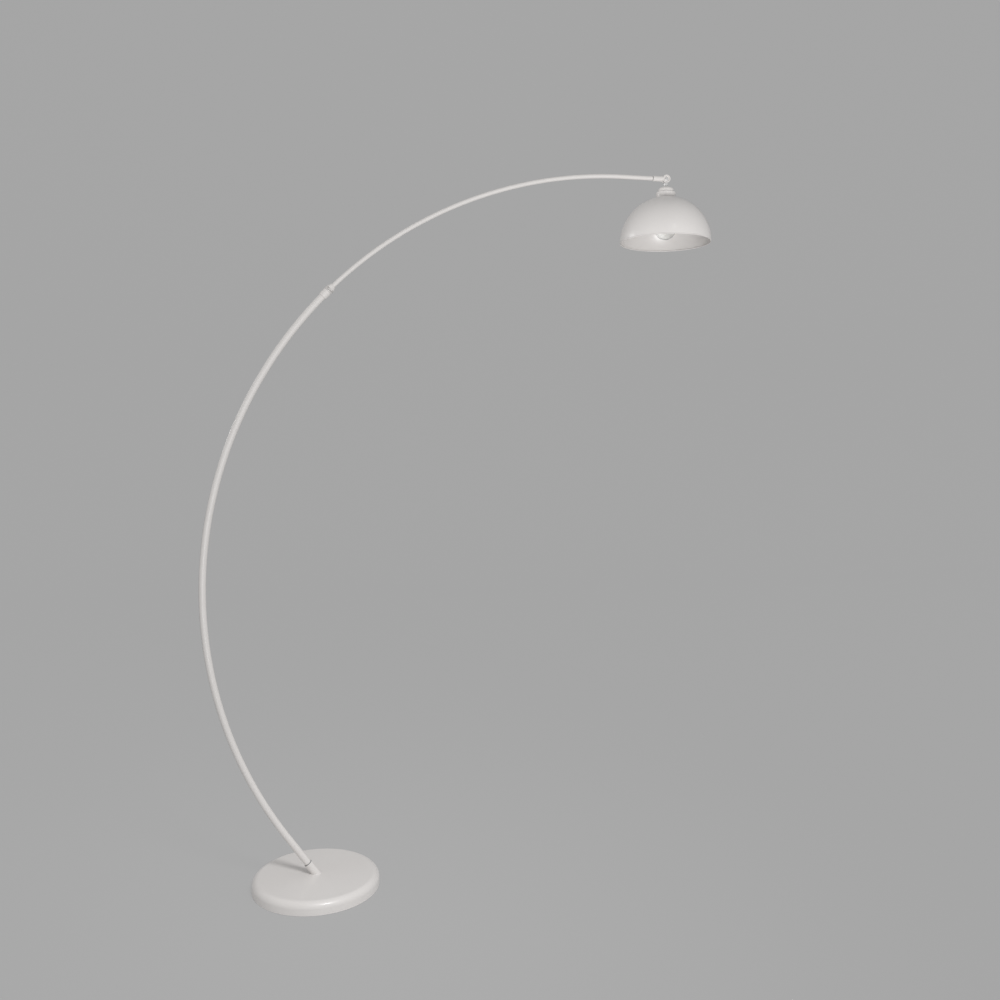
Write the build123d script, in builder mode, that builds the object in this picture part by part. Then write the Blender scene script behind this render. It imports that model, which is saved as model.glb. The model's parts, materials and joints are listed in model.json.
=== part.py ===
"""Arc floor lamp: round weighted base, bent pole, telescoping bent arm and a tilting dome shade.

Millimetres. The origin is the middle of the base's underside, +Z is up and the arm reaches along +X.
The pole rises straight out of the base and then bends. Pole and arm share one circle in the XZ plane, so the
arm slides into the pole along that circle.
"""

import os
from math import atan2, cos, degrees, radians, sin, sqrt, tan

from build123d import *

os.makedirs("parts", exist_ok=True)

# Arc: the circle that both tubes follow, with polar angles counted from +X towards +Z
ARC_RADIUS = 1144.0
POLE_LEAN = 35.26
FOOT_RUN = 127.0
POLE_TOP_ANGLE = 136.2
ARM_BEND_END = 90.0
ARM_RUN = 85.0

# Tubes and the lead inside them
POLE_DIAMETER = 19.0
POLE_WALL = 1.2
ARM_DIAMETER = 12.0
ARM_WALL = 1.0
LEAD_GAP = 1.2
LEAD_OVERLAP = 40.0
LEAD_GROOVE_BEND = 8.0
LEAD_SPIGOT_BEND = 14.0

# Base
BASE_DIAMETER = 342.0
BASE_HEIGHT = 35.0
COVER_WALL = 1.2
COVER_EDGE = 18.0
COVER_LIFT = 1.0
PAD_THICKNESS = 2.0
PLATE_THICKNESS = 2.0
NUT_POCKET_DIAMETER = 48.0
NUT_POCKET_HEIGHT = 24.0
LEAD_GROOVE_WIDTH = 20.0
LEAD_GROOVE_HEIGHT = 18.0
LEAD_HEIGHT = 11.2
PLATE_SCREW_COUNT = 4
PLATE_SCREW_CIRCLE = 240.0
PLATE_SCREW_DIAMETER = 4.2
PLATE_SCREW_HEAD = 8.4
PLATE_SCREW_LENGTH = 16.0

# Grommet in the back of the cover
GROMMET_NECK = 11.0
GROMMET_FLANGE = 14.0
GROMMET_FLANGE_THICKNESS = 2.0
GROMMET_BORE = 7.2

# Inclined socket that carries the pole
SOCKET_DIAMETER = 22.6
SOCKET_LENGTH = 36.0
POLE_INSERT = 26.0
SPIGOT_DIAMETER = 16.0
SOCKET_NUT_FLATS = 24.0
SOCKET_NUT_HEIGHT = 9.0
SOCKET_WASHER_DIAMETER = 40.0
SOCKET_WASHER_THICKNESS = 2.5
SPIGOT_PROUD = 1.0
SET_SCREW_DIAMETER = 5.0
SET_SCREW_KEY = 2.5
SET_SCREW_KEY_DEPTH = 1.2
SET_SCREW_SUNK = 0.2
SOCKET_SEAL_INSET = 0.5
SOCKET_SEAL_HEIGHT = 1.8

# Telescope clamp
COLLAR_DIAMETER = 23.0
COLLAR_LENGTH = 20.0
COLLAR_SPIGOT_LENGTH = 30.0
COLLAR_NOSE_DIAMETER = 16.4
COLLAR_NOSE_LENGTH = 8.0
LOCK_NUT_LENGTH = 20.0
LOCK_NUT_GRIP = 10.0
LOCK_NUT_TIP = 15.4
LOCK_NUT_LIP = 2.5
LOCK_NUT_FLUTES = 30
FLUTE_DIAMETER = 1.4
FLUTE_DEPTH = 0.35
COLLET_TIP = 14.0
COLLET_SLIT = 1.2
BUSH_LENGTH = 45.0
BUSH_LIP = 2.0

# Knuckle between arm and head
ARM_SEAL_WIDTH = 1.2
FITTING_DIAMETER = 15.0
FITTING_LENGTH = 40.0
FITTING_PLUG = 20.0
FITTING_BORE = 4.6
KNUCKLE_DIAMETER = 22.0
CHEEK_THICKNESS = 4.0
CHEEK_RECESS_DIAMETER = 16.0
CHEEK_RECESS_DEPTH = 2.4
TONGUE_DIAMETER = 21.0
TONGUE_THICKNESS = 6.0
TONGUE_NECK = 10.0
TONGUE_PORT = 3.2
TONGUE_PORT_HEIGHT = 8.0
FRICTION_WASHER_DIAMETER = 17.0
FRICTION_WASHER_THICKNESS = 0.8
PIVOT_DIAMETER = 5.0
PIVOT_HEAD_DIAMETER = 9.4
PIVOT_HEAD_HEIGHT = 2.4
PIVOT_SLOT_WIDTH = 1.4
PIVOT_SLOT_DEPTH = 1.2
PIVOT_NUT_FLATS = 8.0
PIVOT_NUT_HEIGHT = 3.2
PIVOT_PROUD = 0.8

# Head stack, top to bottom
BOSS_DIAMETER = 12.0
BOSS_HEIGHT = 6.4
NIPPLE_DIAMETER = 10.0
NIPPLE_BORE = 6.4
NIPPLE_SHOW = 2.2
NIPPLE_SINK = 4.0
NIPPLE_GRIP = 8.0
NIPPLE_NUT_FLATS = 13.0
NIPPLE_NUT_HEIGHT = 3.2
CUP_WALL = 1.2
CUP_DOME_DIAMETER = 44.0
CUP_DOME_HEIGHT = 14.0
CUP_DOME_EDGE = 9.5
CUP_RING_DIAMETER = 54.0
CUP_RING_HEIGHT = 15.6
CUP_EDGE = 1.5

# Shade
SHADE_DIAMETER = 254.0
SHADE_WALL = 1.0
SHADE_FLAT_DIAMETER = 60.0
SHADE_BEAD_DIAMETER = 3.0

# Lamp holder
HOLDER_DIAMETER = 39.0
HOLDER_LENGTH = 56.0
HOLDER_NECK_DIAMETER = 17.0
HOLDER_NECK_HEIGHT = 6.0
HOLDER_TOP_WALL = 3.5
HOLDER_WALL = 3.0
HOLDER_LEDGE = 1.5
HOLDER_FLANGE_DIAMETER = 48.0
HOLDER_FLANGE_THICKNESS = 2.5
WIRING_HEIGHT = 7.0
INSERT_THICKNESS = 10.5
INSERT_SLEEVE_LENGTH = 27.0
SHELL_WALL = 0.55
SHELL_LENGTH = 25.5
CONTACT_DIAMETER = 8.0
CONTACT_THICKNESS = 1.5
TERMINAL_SPACING = 16.0
TERMINAL_WIDTH = 6.0
TERMINAL_DEPTH = 8.0
TERMINAL_HEIGHT = 4.0
TERMINAL_SCREW_DIAMETER = 2.4
TERMINAL_SCREW_HEAD = 4.4
TERMINAL_SCREW_HEAD_HEIGHT = 1.4
SHADE_RING_DIAMETER = 52.0
SHADE_RING_HEIGHT = 6.0
SHADE_RING_NOTCHES = 12
SHADE_RING_NOTCH_DIAMETER = 4.0

# Bulb
BULB_DIAMETER = 60.0
BULB_LENGTH = 106.0
BULB_GLASS = 0.8
BULB_NECK_RUN = 4.0
CAP_DIAMETER = 26.2
CAP_WALL = 0.4
CAP_LENGTH = 27.0
CAP_SHOULDER_DIAMETER = 21.0
CAP_SHOULDER_HEIGHT = 2.5
TIP_CONTACT_DIAMETER = 9.6
TIP_CONTACT_HEIGHT = 2.0
TIP_INSULATOR_HEIGHT = 4.0
GLASS_TUCK = 6.0
STEM_ROD_DIAMETER = 7.0
STEM_FLARE_HEIGHT = 16.0
STEM_ROD_LENGTH = 12.0
FILAMENT_COUNT = 4
FILAMENT_DIAMETER = 1.8
FILAMENT_LENGTH = 34.0
FILAMENT_CIRCLE = 14.0
WIRE_DIAMETER = 0.8

# Clearances
FIT = 0.05
THREAD_FIT = 0.1
SEAT_FIT = 0.2
SLIDE_FIT = 0.2
TURN_FIT = 0.3
LEAD_ROOM = 0.4
PASS_GAP = 0.5
WEIGHT_GAP = 1.0

# Heights and places that follow from the sizes
BASE_RADIUS = BASE_DIAMETER / 2
PLATE_TOP = PAD_THICKNESS + PLATE_THICKNESS
COVER_UNDER = BASE_HEIGHT - COVER_WALL
COVER_INNER_RADIUS = BASE_RADIUS - COVER_WALL
POCKET_TOP = PLATE_TOP + NUT_POCKET_HEIGHT
SPIGOT_BOTTOM = POCKET_TOP - SOCKET_WASHER_THICKNESS - SOCKET_NUT_HEIGHT - SPIGOT_PROUD
BEND_START_X = -FOOT_RUN * sin(radians(POLE_LEAN))
BEND_START_Z = BASE_HEIGHT + FOOT_RUN * cos(radians(POLE_LEAN))
ARC_X = BEND_START_X + ARC_RADIUS * cos(radians(POLE_LEAN))
ARC_Z = BEND_START_Z + ARC_RADIUS * sin(radians(POLE_LEAN))
ARC_AXIS = Axis((ARC_X, 0, ARC_Z), (0, 1, 0))
POLE_BORE = POLE_DIAMETER - 2 * POLE_WALL
ARM_BORE = ARM_DIAMETER - 2 * ARM_WALL
LEAD_DIAMETER = (ARM_BORE - LEAD_GAP) / 2 - LEAD_ROOM
LEAD_OFFSET = (LEAD_DIAMETER + LEAD_GAP) / 2
SPIGOT_BORE = 2 * (LEAD_OFFSET + LEAD_ROOM) + LEAD_DIAMETER
KNUCKLE_X = ARC_X + ARM_RUN + FITTING_LENGTH
KNUCKLE_Z = ARC_Z + ARC_RADIUS
FORK_SLOT = TONGUE_THICKNESS + 2 * FRICTION_WASHER_THICKNESS + 2 * FIT
FORK_WIDTH = FORK_SLOT + 2 * CHEEK_THICKNESS

# Heights in the head, counted from the knuckle's middle
BOSS_TOP = -KNUCKLE_DIAMETER / 2 - PASS_GAP
BOSS_BOTTOM = BOSS_TOP - BOSS_HEIGHT
CUP_TOP = BOSS_BOTTOM - NIPPLE_SHOW - NIPPLE_NUT_HEIGHT
CUP_STEP = CUP_TOP - CUP_DOME_HEIGHT
SHADE_TOP = CUP_STEP - CUP_RING_HEIGHT
SHADE_RADIUS = SHADE_DIAMETER / 2
SHADE_RIM = SHADE_TOP - sqrt(SHADE_RADIUS**2 - (SHADE_FLAT_DIAMETER / 2) ** 2)
HOLDER_TOP = CUP_TOP - PASS_GAP - NIPPLE_GRIP - CUP_WALL
HOLDER_BOTTOM = HOLDER_TOP - HOLDER_LENGTH
HOLDER_SHOULDER = HOLDER_TOP - HOLDER_NECK_HEIGHT
WIRING_TOP = HOLDER_SHOULDER - HOLDER_TOP_WALL
INSERT_TOP = WIRING_TOP - WIRING_HEIGHT
INSERT_BOTTOM = INSERT_TOP - INSERT_THICKNESS
HOLDER_BORE_RADIUS = HOLDER_DIAMETER / 2 - HOLDER_WALL
INSERT_RADIUS = HOLDER_BORE_RADIUS - SEAT_FIT
SHELL_INNER_RADIUS = CAP_DIAMETER / 2 + TURN_FIT
SHELL_OUTER_RADIUS = SHELL_INNER_RADIUS + SHELL_WALL
BULB_TOP = INSERT_BOTTOM - CONTACT_THICKNESS
CAP_TOP = BULB_TOP - TIP_CONTACT_HEIGHT - TIP_INSULATOR_HEIGHT
CAP_BOTTOM = BULB_TOP - CAP_LENGTH
BULB_TIP = BULB_TOP - BULB_LENGTH
GLASS_NECK_RADIUS = CAP_DIAMETER / 2 - CAP_WALL - FIT
GLASS_TOP = CAP_BOTTOM + GLASS_TUCK
BULB_MIDDLE = BULB_TIP + BULB_DIAMETER / 2
NECK_END = CAP_BOTTOM - BULB_NECK_RUN
STEM_ROD_TOP = GLASS_TOP - STEM_FLARE_HEIGHT
FILAMENT_TOP = STEM_ROD_TOP - STEM_ROD_LENGTH
FILAMENT_BOTTOM = FILAMENT_TOP - FILAMENT_LENGTH


def arc_degrees(length):
    """Angle that a length along the arc covers."""
    return degrees(length / ARC_RADIUS)


# Polar angles that follow from lengths along the arc
BEND_START_ANGLE = 180 + POLE_LEAN
COLLAR_TOP_ANGLE = POLE_TOP_ANGLE - arc_degrees(COLLAR_LENGTH)
COLLAR_FOOT_ANGLE = POLE_TOP_ANGLE + arc_degrees(COLLAR_SPIGOT_LENGTH)
BUSH_TOP_ANGLE = COLLAR_FOOT_ANGLE + arc_degrees(PASS_GAP)
ARM_FOOT_ANGLE = BUSH_TOP_ANGLE + arc_degrees(BUSH_LENGTH)
BUSH_FOOT_ANGLE = ARM_FOOT_ANGLE + arc_degrees(BUSH_LIP)
POLE_LEAD_TOP_ANGLE = ARM_FOOT_ANGLE - arc_degrees(LEAD_OVERLAP)
ARM_LEAD_FOOT_ANGLE = ARM_FOOT_ANGLE + arc_degrees(LEAD_OVERLAP)


def arc_point(angle, offset=0.0):
    """Point of the arc at a polar angle, moved outward by an offset."""
    reach = ARC_RADIUS + offset
    return Vector(ARC_X + reach * cos(radians(angle)), 0, ARC_Z + reach * sin(radians(angle)))


def arc_heading(angle):
    """Direction along the arc towards the shade."""
    return Vector(sin(radians(angle)), 0, -cos(radians(angle)))


def outward(angle):
    """Direction away from the arc's centre."""
    return Vector(cos(radians(angle)), 0, sin(radians(angle)))


def arc_plane(angle):
    """Plane square to the arc: local X points outward, local Z towards the shade."""
    return Plane(arc_point(angle), x_dir=outward(angle), z_dir=arc_heading(angle))


def slope_plane(run):
    """Plane square to the pole's straight foot, at a run along it from the base's top."""
    heading = arc_heading(BEND_START_ANGLE)
    return Plane(Vector(0, 0, BASE_HEIGHT) + heading * run, x_dir=outward(BEND_START_ANGLE), z_dir=heading)


def slope_rod(diameter, start, end, mode=Mode.ADD):
    """Straight round bar along the pole's foot from one run to another."""
    with BuildSketch(slope_plane(start)) as section:
        Circle(diameter / 2)
    extrude(section.sketch, amount=end - start, mode=mode)


def arc_rod(diameter, start, end, offset=0.0, mode=Mode.ADD):
    """Round bar bent along the arc from one polar angle down to another."""
    with BuildSketch(arc_plane(start)) as section:
        with Locations((offset, 0)):
            Circle(diameter / 2)
    revolve(section.sketch, axis=ARC_AXIS, revolution_arc=start - end, mode=mode)


def turned(plane, *points):
    """Half section with straight sides, drawn as radius and height on a plane through the axis."""
    with BuildSketch(plane) as section:
        with BuildLine():
            Polyline(*points, close=True)
        make_face()
    return section.sketch


def ring(plane, outer, inner, bottom, top):
    """Half section of a plain ring."""
    return turned(plane, (inner, bottom), (outer, bottom), (outer, top), (inner, top))


def puck(radius, bottom, top, edge):
    """Half section of a disc with a rounded top edge."""
    with BuildSketch(Plane.XZ) as section:
        with BuildLine():
            Polyline((radius, top - edge), (radius, bottom), (0, bottom), (0, top), (radius - edge, top))
            CenterArc((radius - edge, top - edge), edge, 0, 90)
        make_face()
    return section.sketch


# Planes and axes that several pieces share
BACK_PLANE = Plane((0, 0, LEAD_HEIGHT), x_dir=(1, 0, 0), z_dir=(0, 1, 0))
BACK_SECTION = Plane((0, 0, LEAD_HEIGHT), x_dir=(1, 0, 0), z_dir=(0, 0, 1))
BACK_AXIS = Axis((0, 0, LEAD_HEIGHT), (0, 1, 0))
POLE_FOOT = SOCKET_LENGTH - POLE_INSERT
SCREW_SEAT = slope_plane(SOCKET_LENGTH - POLE_INSERT / 2)
SCREW_PLANE = Plane(SCREW_SEAT.origin, x_dir=SCREW_SEAT.z_dir, z_dir=(0, 1, 0))
NUT_PLANE = arc_plane(COLLAR_TOP_ANGLE)
NUT_SECTION = Plane(NUT_PLANE.origin, x_dir=NUT_PLANE.x_dir, z_dir=(0, 1, 0))
NUT_AXIS = Axis(NUT_PLANE.origin, NUT_PLANE.z_dir)
BEND_END_PLANE = arc_plane(ARM_BEND_END)
TIP_PLANE = BEND_END_PLANE.offset(ARM_RUN)
KNUCKLE_PLANE = Plane((KNUCKLE_X, 0, KNUCKLE_Z), x_dir=(1, 0, 0), z_dir=(0, -1, 0))
HEAD_AXIS = Axis((KNUCKLE_X, 0, KNUCKLE_Z), (0, 0, 1))


def head_plane(height):
    """Level plane at a height counted from the knuckle's middle."""
    return Plane((KNUCKLE_X, 0, KNUCKLE_Z + height), x_dir=(1, 0, 0), z_dir=(0, 0, 1))


# Base: felt pad, steel plate, ballast and spun cover
with BuildPart() as felt_pad:
    with BuildSketch(Plane.XY):
        Circle(COVER_INNER_RADIUS - 2 * WEIGHT_GAP)
    extrude(amount=PAD_THICKNESS)

with BuildPart() as base_plate:
    with BuildSketch(Plane.XY.offset(PAD_THICKNESS)):
        Circle(COVER_INNER_RADIUS - PASS_GAP)
    extrude(amount=PLATE_THICKNESS)
    with Locations(Plane.XY.offset(PAD_THICKNESS)):
        with PolarLocations(PLATE_SCREW_CIRCLE / 2, PLATE_SCREW_COUNT, start_angle=45):
            Cone(
                PLATE_SCREW_HEAD / 2 + THREAD_FIT,
                PLATE_SCREW_DIAMETER / 2 + THREAD_FIT,
                PLATE_THICKNESS,
                align=(Align.CENTER, Align.CENTER, Align.MIN),
                mode=Mode.SUBTRACT,
            )

with BuildPart() as plate_screws:
    with BuildSketch(Plane.XY.offset(PAD_THICKNESS)):
        with PolarLocations(PLATE_SCREW_CIRCLE / 2, PLATE_SCREW_COUNT, start_angle=45):
            Circle(PLATE_SCREW_DIAMETER / 2)
    extrude(amount=PLATE_SCREW_LENGTH)
    with Locations(Plane.XY.offset(PAD_THICKNESS)):
        with PolarLocations(PLATE_SCREW_CIRCLE / 2, PLATE_SCREW_COUNT, start_angle=45):
            Cone(
                PLATE_SCREW_HEAD / 2,
                PLATE_SCREW_DIAMETER / 2,
                PLATE_THICKNESS,
                align=(Align.CENTER, Align.CENTER, Align.MIN),
            )

with BuildPart() as base_weight:
    revolve(puck(COVER_INNER_RADIUS - WEIGHT_GAP, PLATE_TOP, COVER_UNDER, COVER_EDGE - COVER_WALL))
    with BuildSketch(Plane.XY.offset(PLATE_TOP)):
        with PolarLocations(PLATE_SCREW_CIRCLE / 2, PLATE_SCREW_COUNT, start_angle=45):
            Circle(PLATE_SCREW_DIAMETER / 2 + THREAD_FIT)
    extrude(amount=PLATE_SCREW_LENGTH, mode=Mode.SUBTRACT)
    revolve(ring(Plane.XZ, NUT_POCKET_DIAMETER / 2, 0, PLATE_TOP, POCKET_TOP), mode=Mode.SUBTRACT)
    revolve(ring(Plane.XZ, SPIGOT_DIAMETER / 2 + SEAT_FIT, 0, POCKET_TOP, BASE_HEIGHT), mode=Mode.SUBTRACT)
    with BuildSketch(Plane.XY.offset(PLATE_TOP)):
        Rectangle(LEAD_GROOVE_WIDTH, BASE_RADIUS, align=(Align.CENTER, Align.MIN))
    extrude(amount=LEAD_GROOVE_HEIGHT, mode=Mode.SUBTRACT)

with BuildPart() as base_cover:
    revolve(puck(BASE_RADIUS, COVER_LIFT, BASE_HEIGHT, COVER_EDGE))
    revolve(puck(COVER_INNER_RADIUS, COVER_LIFT, COVER_UNDER, COVER_EDGE - COVER_WALL), mode=Mode.SUBTRACT)
    revolve(ring(Plane.XZ, SPIGOT_DIAMETER / 2 + SEAT_FIT, 0, COVER_UNDER, BASE_HEIGHT), mode=Mode.SUBTRACT)
    with BuildSketch(BACK_PLANE):
        Circle(GROMMET_NECK / 2 + FIT)
    extrude(amount=BASE_RADIUS, mode=Mode.SUBTRACT)

# The cover's wall bends away to both sides of the grommet, so its inner flange stands a little further in
GROMMET_OUTER_FACE = BASE_RADIUS
GROMMET_INNER_FACE = sqrt(COVER_INNER_RADIUS**2 - (GROMMET_FLANGE / 2) ** 2)
GROMMET_END = GROMMET_INNER_FACE - GROMMET_FLANGE_THICKNESS

with BuildPart() as cord_grommet:
    revolve(
        turned(
            BACK_SECTION,
            (GROMMET_BORE / 2, GROMMET_END),
            (GROMMET_FLANGE / 2, GROMMET_END),
            (GROMMET_FLANGE / 2, GROMMET_INNER_FACE),
            (GROMMET_NECK / 2, GROMMET_INNER_FACE),
            (GROMMET_NECK / 2, GROMMET_OUTER_FACE + FIT),
            (GROMMET_FLANGE / 2, GROMMET_OUTER_FACE + FIT),
            (GROMMET_FLANGE / 2, GROMMET_OUTER_FACE + GROMMET_FLANGE_THICKNESS),
            (GROMMET_BORE / 2, GROMMET_OUTER_FACE + GROMMET_FLANGE_THICKNESS),
        ),
        axis=BACK_AXIS,
    )

# Inclined socket with its threaded spigot, set screw, seal, washer and nut
STUB_MARGIN = SOCKET_DIAMETER * tan(radians(POLE_LEAN))
BORE_MARGIN = SPIGOT_BORE / 2 * tan(radians(POLE_LEAN))

with BuildPart() as pole_socket:
    slope_rod(SOCKET_DIAMETER, -STUB_MARGIN, SOCKET_LENGTH)
    split(bisect_by=Plane.XY.offset(BASE_HEIGHT), keep=Keep.TOP)
    revolve(ring(Plane.XZ, SPIGOT_DIAMETER / 2, 0, SPIGOT_BOTTOM, BASE_HEIGHT))
    slope_rod(POLE_DIAMETER + 2 * SLIDE_FIT, POLE_FOOT, SOCKET_LENGTH, mode=Mode.SUBTRACT)
    slope_rod(SPIGOT_BORE, -BORE_MARGIN, POLE_FOOT, mode=Mode.SUBTRACT)
    revolve(ring(Plane.XZ, SPIGOT_BORE / 2, 0, SPIGOT_BOTTOM, BASE_HEIGHT), mode=Mode.SUBTRACT)
    with BuildSketch(SCREW_PLANE):
        Circle(SET_SCREW_DIAMETER / 2 + FIT)
    extrude(amount=SOCKET_DIAMETER, mode=Mode.SUBTRACT)

with BuildPart() as pole_set_screw:
    with BuildSketch(SCREW_PLANE.offset(POLE_DIAMETER / 2)):
        Circle(SET_SCREW_DIAMETER / 2)
    extrude(amount=(SOCKET_DIAMETER - POLE_DIAMETER) / 2 - SET_SCREW_SUNK)
    with BuildSketch(SCREW_PLANE.offset(SOCKET_DIAMETER / 2 - SET_SCREW_SUNK)):
        RegularPolygon(SET_SCREW_KEY / 2, 6, major_radius=False)
    extrude(amount=-SET_SCREW_KEY_DEPTH, mode=Mode.SUBTRACT)

with BuildPart() as socket_seal:
    slope_rod(SOCKET_DIAMETER - 2 * SOCKET_SEAL_INSET, SOCKET_LENGTH, SOCKET_LENGTH + SOCKET_SEAL_HEIGHT)
    slope_rod(POLE_DIAMETER + 2 * FIT, SOCKET_LENGTH, SOCKET_LENGTH + SOCKET_SEAL_HEIGHT, mode=Mode.SUBTRACT)

NUT_SEAT = POCKET_TOP - SOCKET_WASHER_THICKNESS

with BuildPart() as socket_washer:
    revolve(ring(Plane.XZ, SOCKET_WASHER_DIAMETER / 2, SPIGOT_DIAMETER / 2 + SEAT_FIT, NUT_SEAT, POCKET_TOP))

with BuildPart() as socket_nut:
    with BuildSketch(Plane.XY.offset(NUT_SEAT)):
        RegularPolygon(SOCKET_NUT_FLATS / 2, 6, major_radius=False)
        Circle(SPIGOT_DIAMETER / 2 + FIT, mode=Mode.SUBTRACT)
    extrude(amount=-SOCKET_NUT_HEIGHT)

# Lower pole
with BuildPart() as lower_pole:
    slope_rod(POLE_DIAMETER, POLE_FOOT, FOOT_RUN)
    arc_rod(POLE_DIAMETER, BEND_START_ANGLE, POLE_TOP_ANGLE)
    slope_rod(POLE_BORE, POLE_FOOT, FOOT_RUN, mode=Mode.SUBTRACT)
    arc_rod(POLE_BORE, BEND_START_ANGLE, POLE_TOP_ANGLE, mode=Mode.SUBTRACT)

# Lead through base and pole: along the groove, up the spigot, then up the pole beside its middle
LEAD_BEND_START = arc_point(BEND_START_ANGLE, -LEAD_OFFSET)
LEAD_SLOPE = arc_heading(BEND_START_ANGLE)
LEAD_CORNER = LEAD_BEND_START - LEAD_SLOPE * (LEAD_BEND_START.X / LEAD_SLOPE.X)

with BuildPart() as pole_lead:
    with BuildLine():
        FilletPolyline(
            (0, GROMMET_END - WEIGHT_GAP, LEAD_HEIGHT),
            (0, 0, LEAD_HEIGHT),
            LEAD_CORNER,
            LEAD_BEND_START,
            radius=[LEAD_GROOVE_BEND, LEAD_SPIGOT_BEND],
        )
    with BuildSketch(BACK_PLANE.offset(GROMMET_END - WEIGHT_GAP)):
        Circle(LEAD_DIAMETER / 2)
    sweep()
    arc_rod(LEAD_DIAMETER, BEND_START_ANGLE, POLE_LEAD_TOP_ANGLE, offset=-LEAD_OFFSET)

# Telescope clamp: collar on the pole, split collet, knurled lock nut
NOSE_TOP = COLLAR_NOSE_LENGTH
COLLET_TOP = LOCK_NUT_LENGTH - LOCK_NUT_LIP - TURN_FIT

with BuildPart() as pole_collar:
    arc_rod(COLLAR_DIAMETER, POLE_TOP_ANGLE, COLLAR_TOP_ANGLE)
    arc_rod(POLE_BORE - 2 * THREAD_FIT, COLLAR_FOOT_ANGLE, POLE_TOP_ANGLE)
    with BuildSketch(NUT_PLANE):
        Circle(COLLAR_NOSE_DIAMETER / 2)
    extrude(amount=COLLAR_NOSE_LENGTH)
    arc_rod(
        ARM_DIAMETER + 2 * TURN_FIT,
        COLLAR_FOOT_ANGLE,
        COLLAR_TOP_ANGLE - arc_degrees(COLLAR_NOSE_LENGTH + PASS_GAP),
        mode=Mode.SUBTRACT,
    )

with BuildPart() as collet:
    revolve(
        turned(
            NUT_SECTION,
            (0, NOSE_TOP),
            (COLLAR_NOSE_DIAMETER / 2, NOSE_TOP),
            (COLLET_TIP / 2, COLLET_TOP),
            (0, COLLET_TOP),
        ),
        axis=NUT_AXIS,
    )
    arc_rod(
        ARM_DIAMETER + 2 * SLIDE_FIT,
        COLLAR_TOP_ANGLE,
        COLLAR_TOP_ANGLE - arc_degrees(LOCK_NUT_LENGTH),
        mode=Mode.SUBTRACT,
    )
    with BuildSketch(NUT_PLANE):
        Rectangle(COLLAR_DIAMETER, COLLET_SLIT, align=(Align.MIN, Align.CENTER))
    extrude(amount=LOCK_NUT_LENGTH, mode=Mode.SUBTRACT)

LOCK_NUT_BORE = ARM_DIAMETER / 2 + 2 * TURN_FIT
NOSE_CHAMBER = COLLAR_NOSE_DIAMETER / 2 + TURN_FIT

with BuildPart() as lock_nut:
    revolve(
        turned(
            NUT_SECTION,
            (NOSE_CHAMBER, TURN_FIT),
            (COLLAR_DIAMETER / 2, TURN_FIT),
            (COLLAR_DIAMETER / 2, LOCK_NUT_GRIP),
            (LOCK_NUT_TIP / 2, LOCK_NUT_LENGTH),
            (LOCK_NUT_BORE, LOCK_NUT_LENGTH),
            (LOCK_NUT_BORE, LOCK_NUT_LENGTH - LOCK_NUT_LIP),
            (COLLET_TIP / 2 + TURN_FIT, LOCK_NUT_LENGTH - LOCK_NUT_LIP),
            (NOSE_CHAMBER, NOSE_TOP),
        ),
        axis=NUT_AXIS,
    )
    with BuildSketch(NUT_PLANE):
        with PolarLocations(COLLAR_DIAMETER / 2 + FLUTE_DIAMETER / 2 - FLUTE_DEPTH, LOCK_NUT_FLUTES):
            Circle(FLUTE_DIAMETER / 2)
    extrude(amount=LOCK_NUT_GRIP, mode=Mode.SUBTRACT)

# Arm: bent tube with a straight end, guide bush and lead
with BuildPart() as upper_arm:
    arc_rod(ARM_DIAMETER, ARM_FOOT_ANGLE, ARM_BEND_END)
    with BuildSketch(BEND_END_PLANE):
        Circle(ARM_DIAMETER / 2)
    extrude(amount=ARM_RUN)
    arc_rod(ARM_BORE, ARM_FOOT_ANGLE, ARM_BEND_END, mode=Mode.SUBTRACT)
    with BuildSketch(BEND_END_PLANE):
        Circle(ARM_BORE / 2)
    extrude(amount=ARM_RUN, mode=Mode.SUBTRACT)

with BuildPart() as arm_guide_bush:
    arc_rod(POLE_BORE - 2 * SLIDE_FIT, BUSH_FOOT_ANGLE, BUSH_TOP_ANGLE)
    arc_rod(ARM_DIAMETER + 2 * FIT, ARM_FOOT_ANGLE, BUSH_TOP_ANGLE, mode=Mode.SUBTRACT)
    arc_rod(ARM_BORE, BUSH_FOOT_ANGLE, ARM_FOOT_ANGLE, mode=Mode.SUBTRACT)

with BuildPart() as arm_lead:
    arc_rod(LEAD_DIAMETER, ARM_LEAD_FOOT_ANGLE, ARM_BEND_END, offset=LEAD_OFFSET)
    with BuildSketch(BEND_END_PLANE):
        with Locations((LEAD_OFFSET, 0)):
            Circle(LEAD_DIAMETER / 2)
    extrude(amount=ARM_RUN - FITTING_PLUG)

# Knuckle: seal, fork on the arm, pivot screw with nut and friction washers
FORK_ROOT = TONGUE_DIAMETER / 2 + WEIGHT_GAP

with BuildPart() as arm_seal:
    with BuildSketch(TIP_PLANE):
        Circle(ARM_DIAMETER / 2)
        Circle(ARM_BORE / 2, mode=Mode.SUBTRACT)
    extrude(amount=ARM_SEAL_WIDTH)

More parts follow.
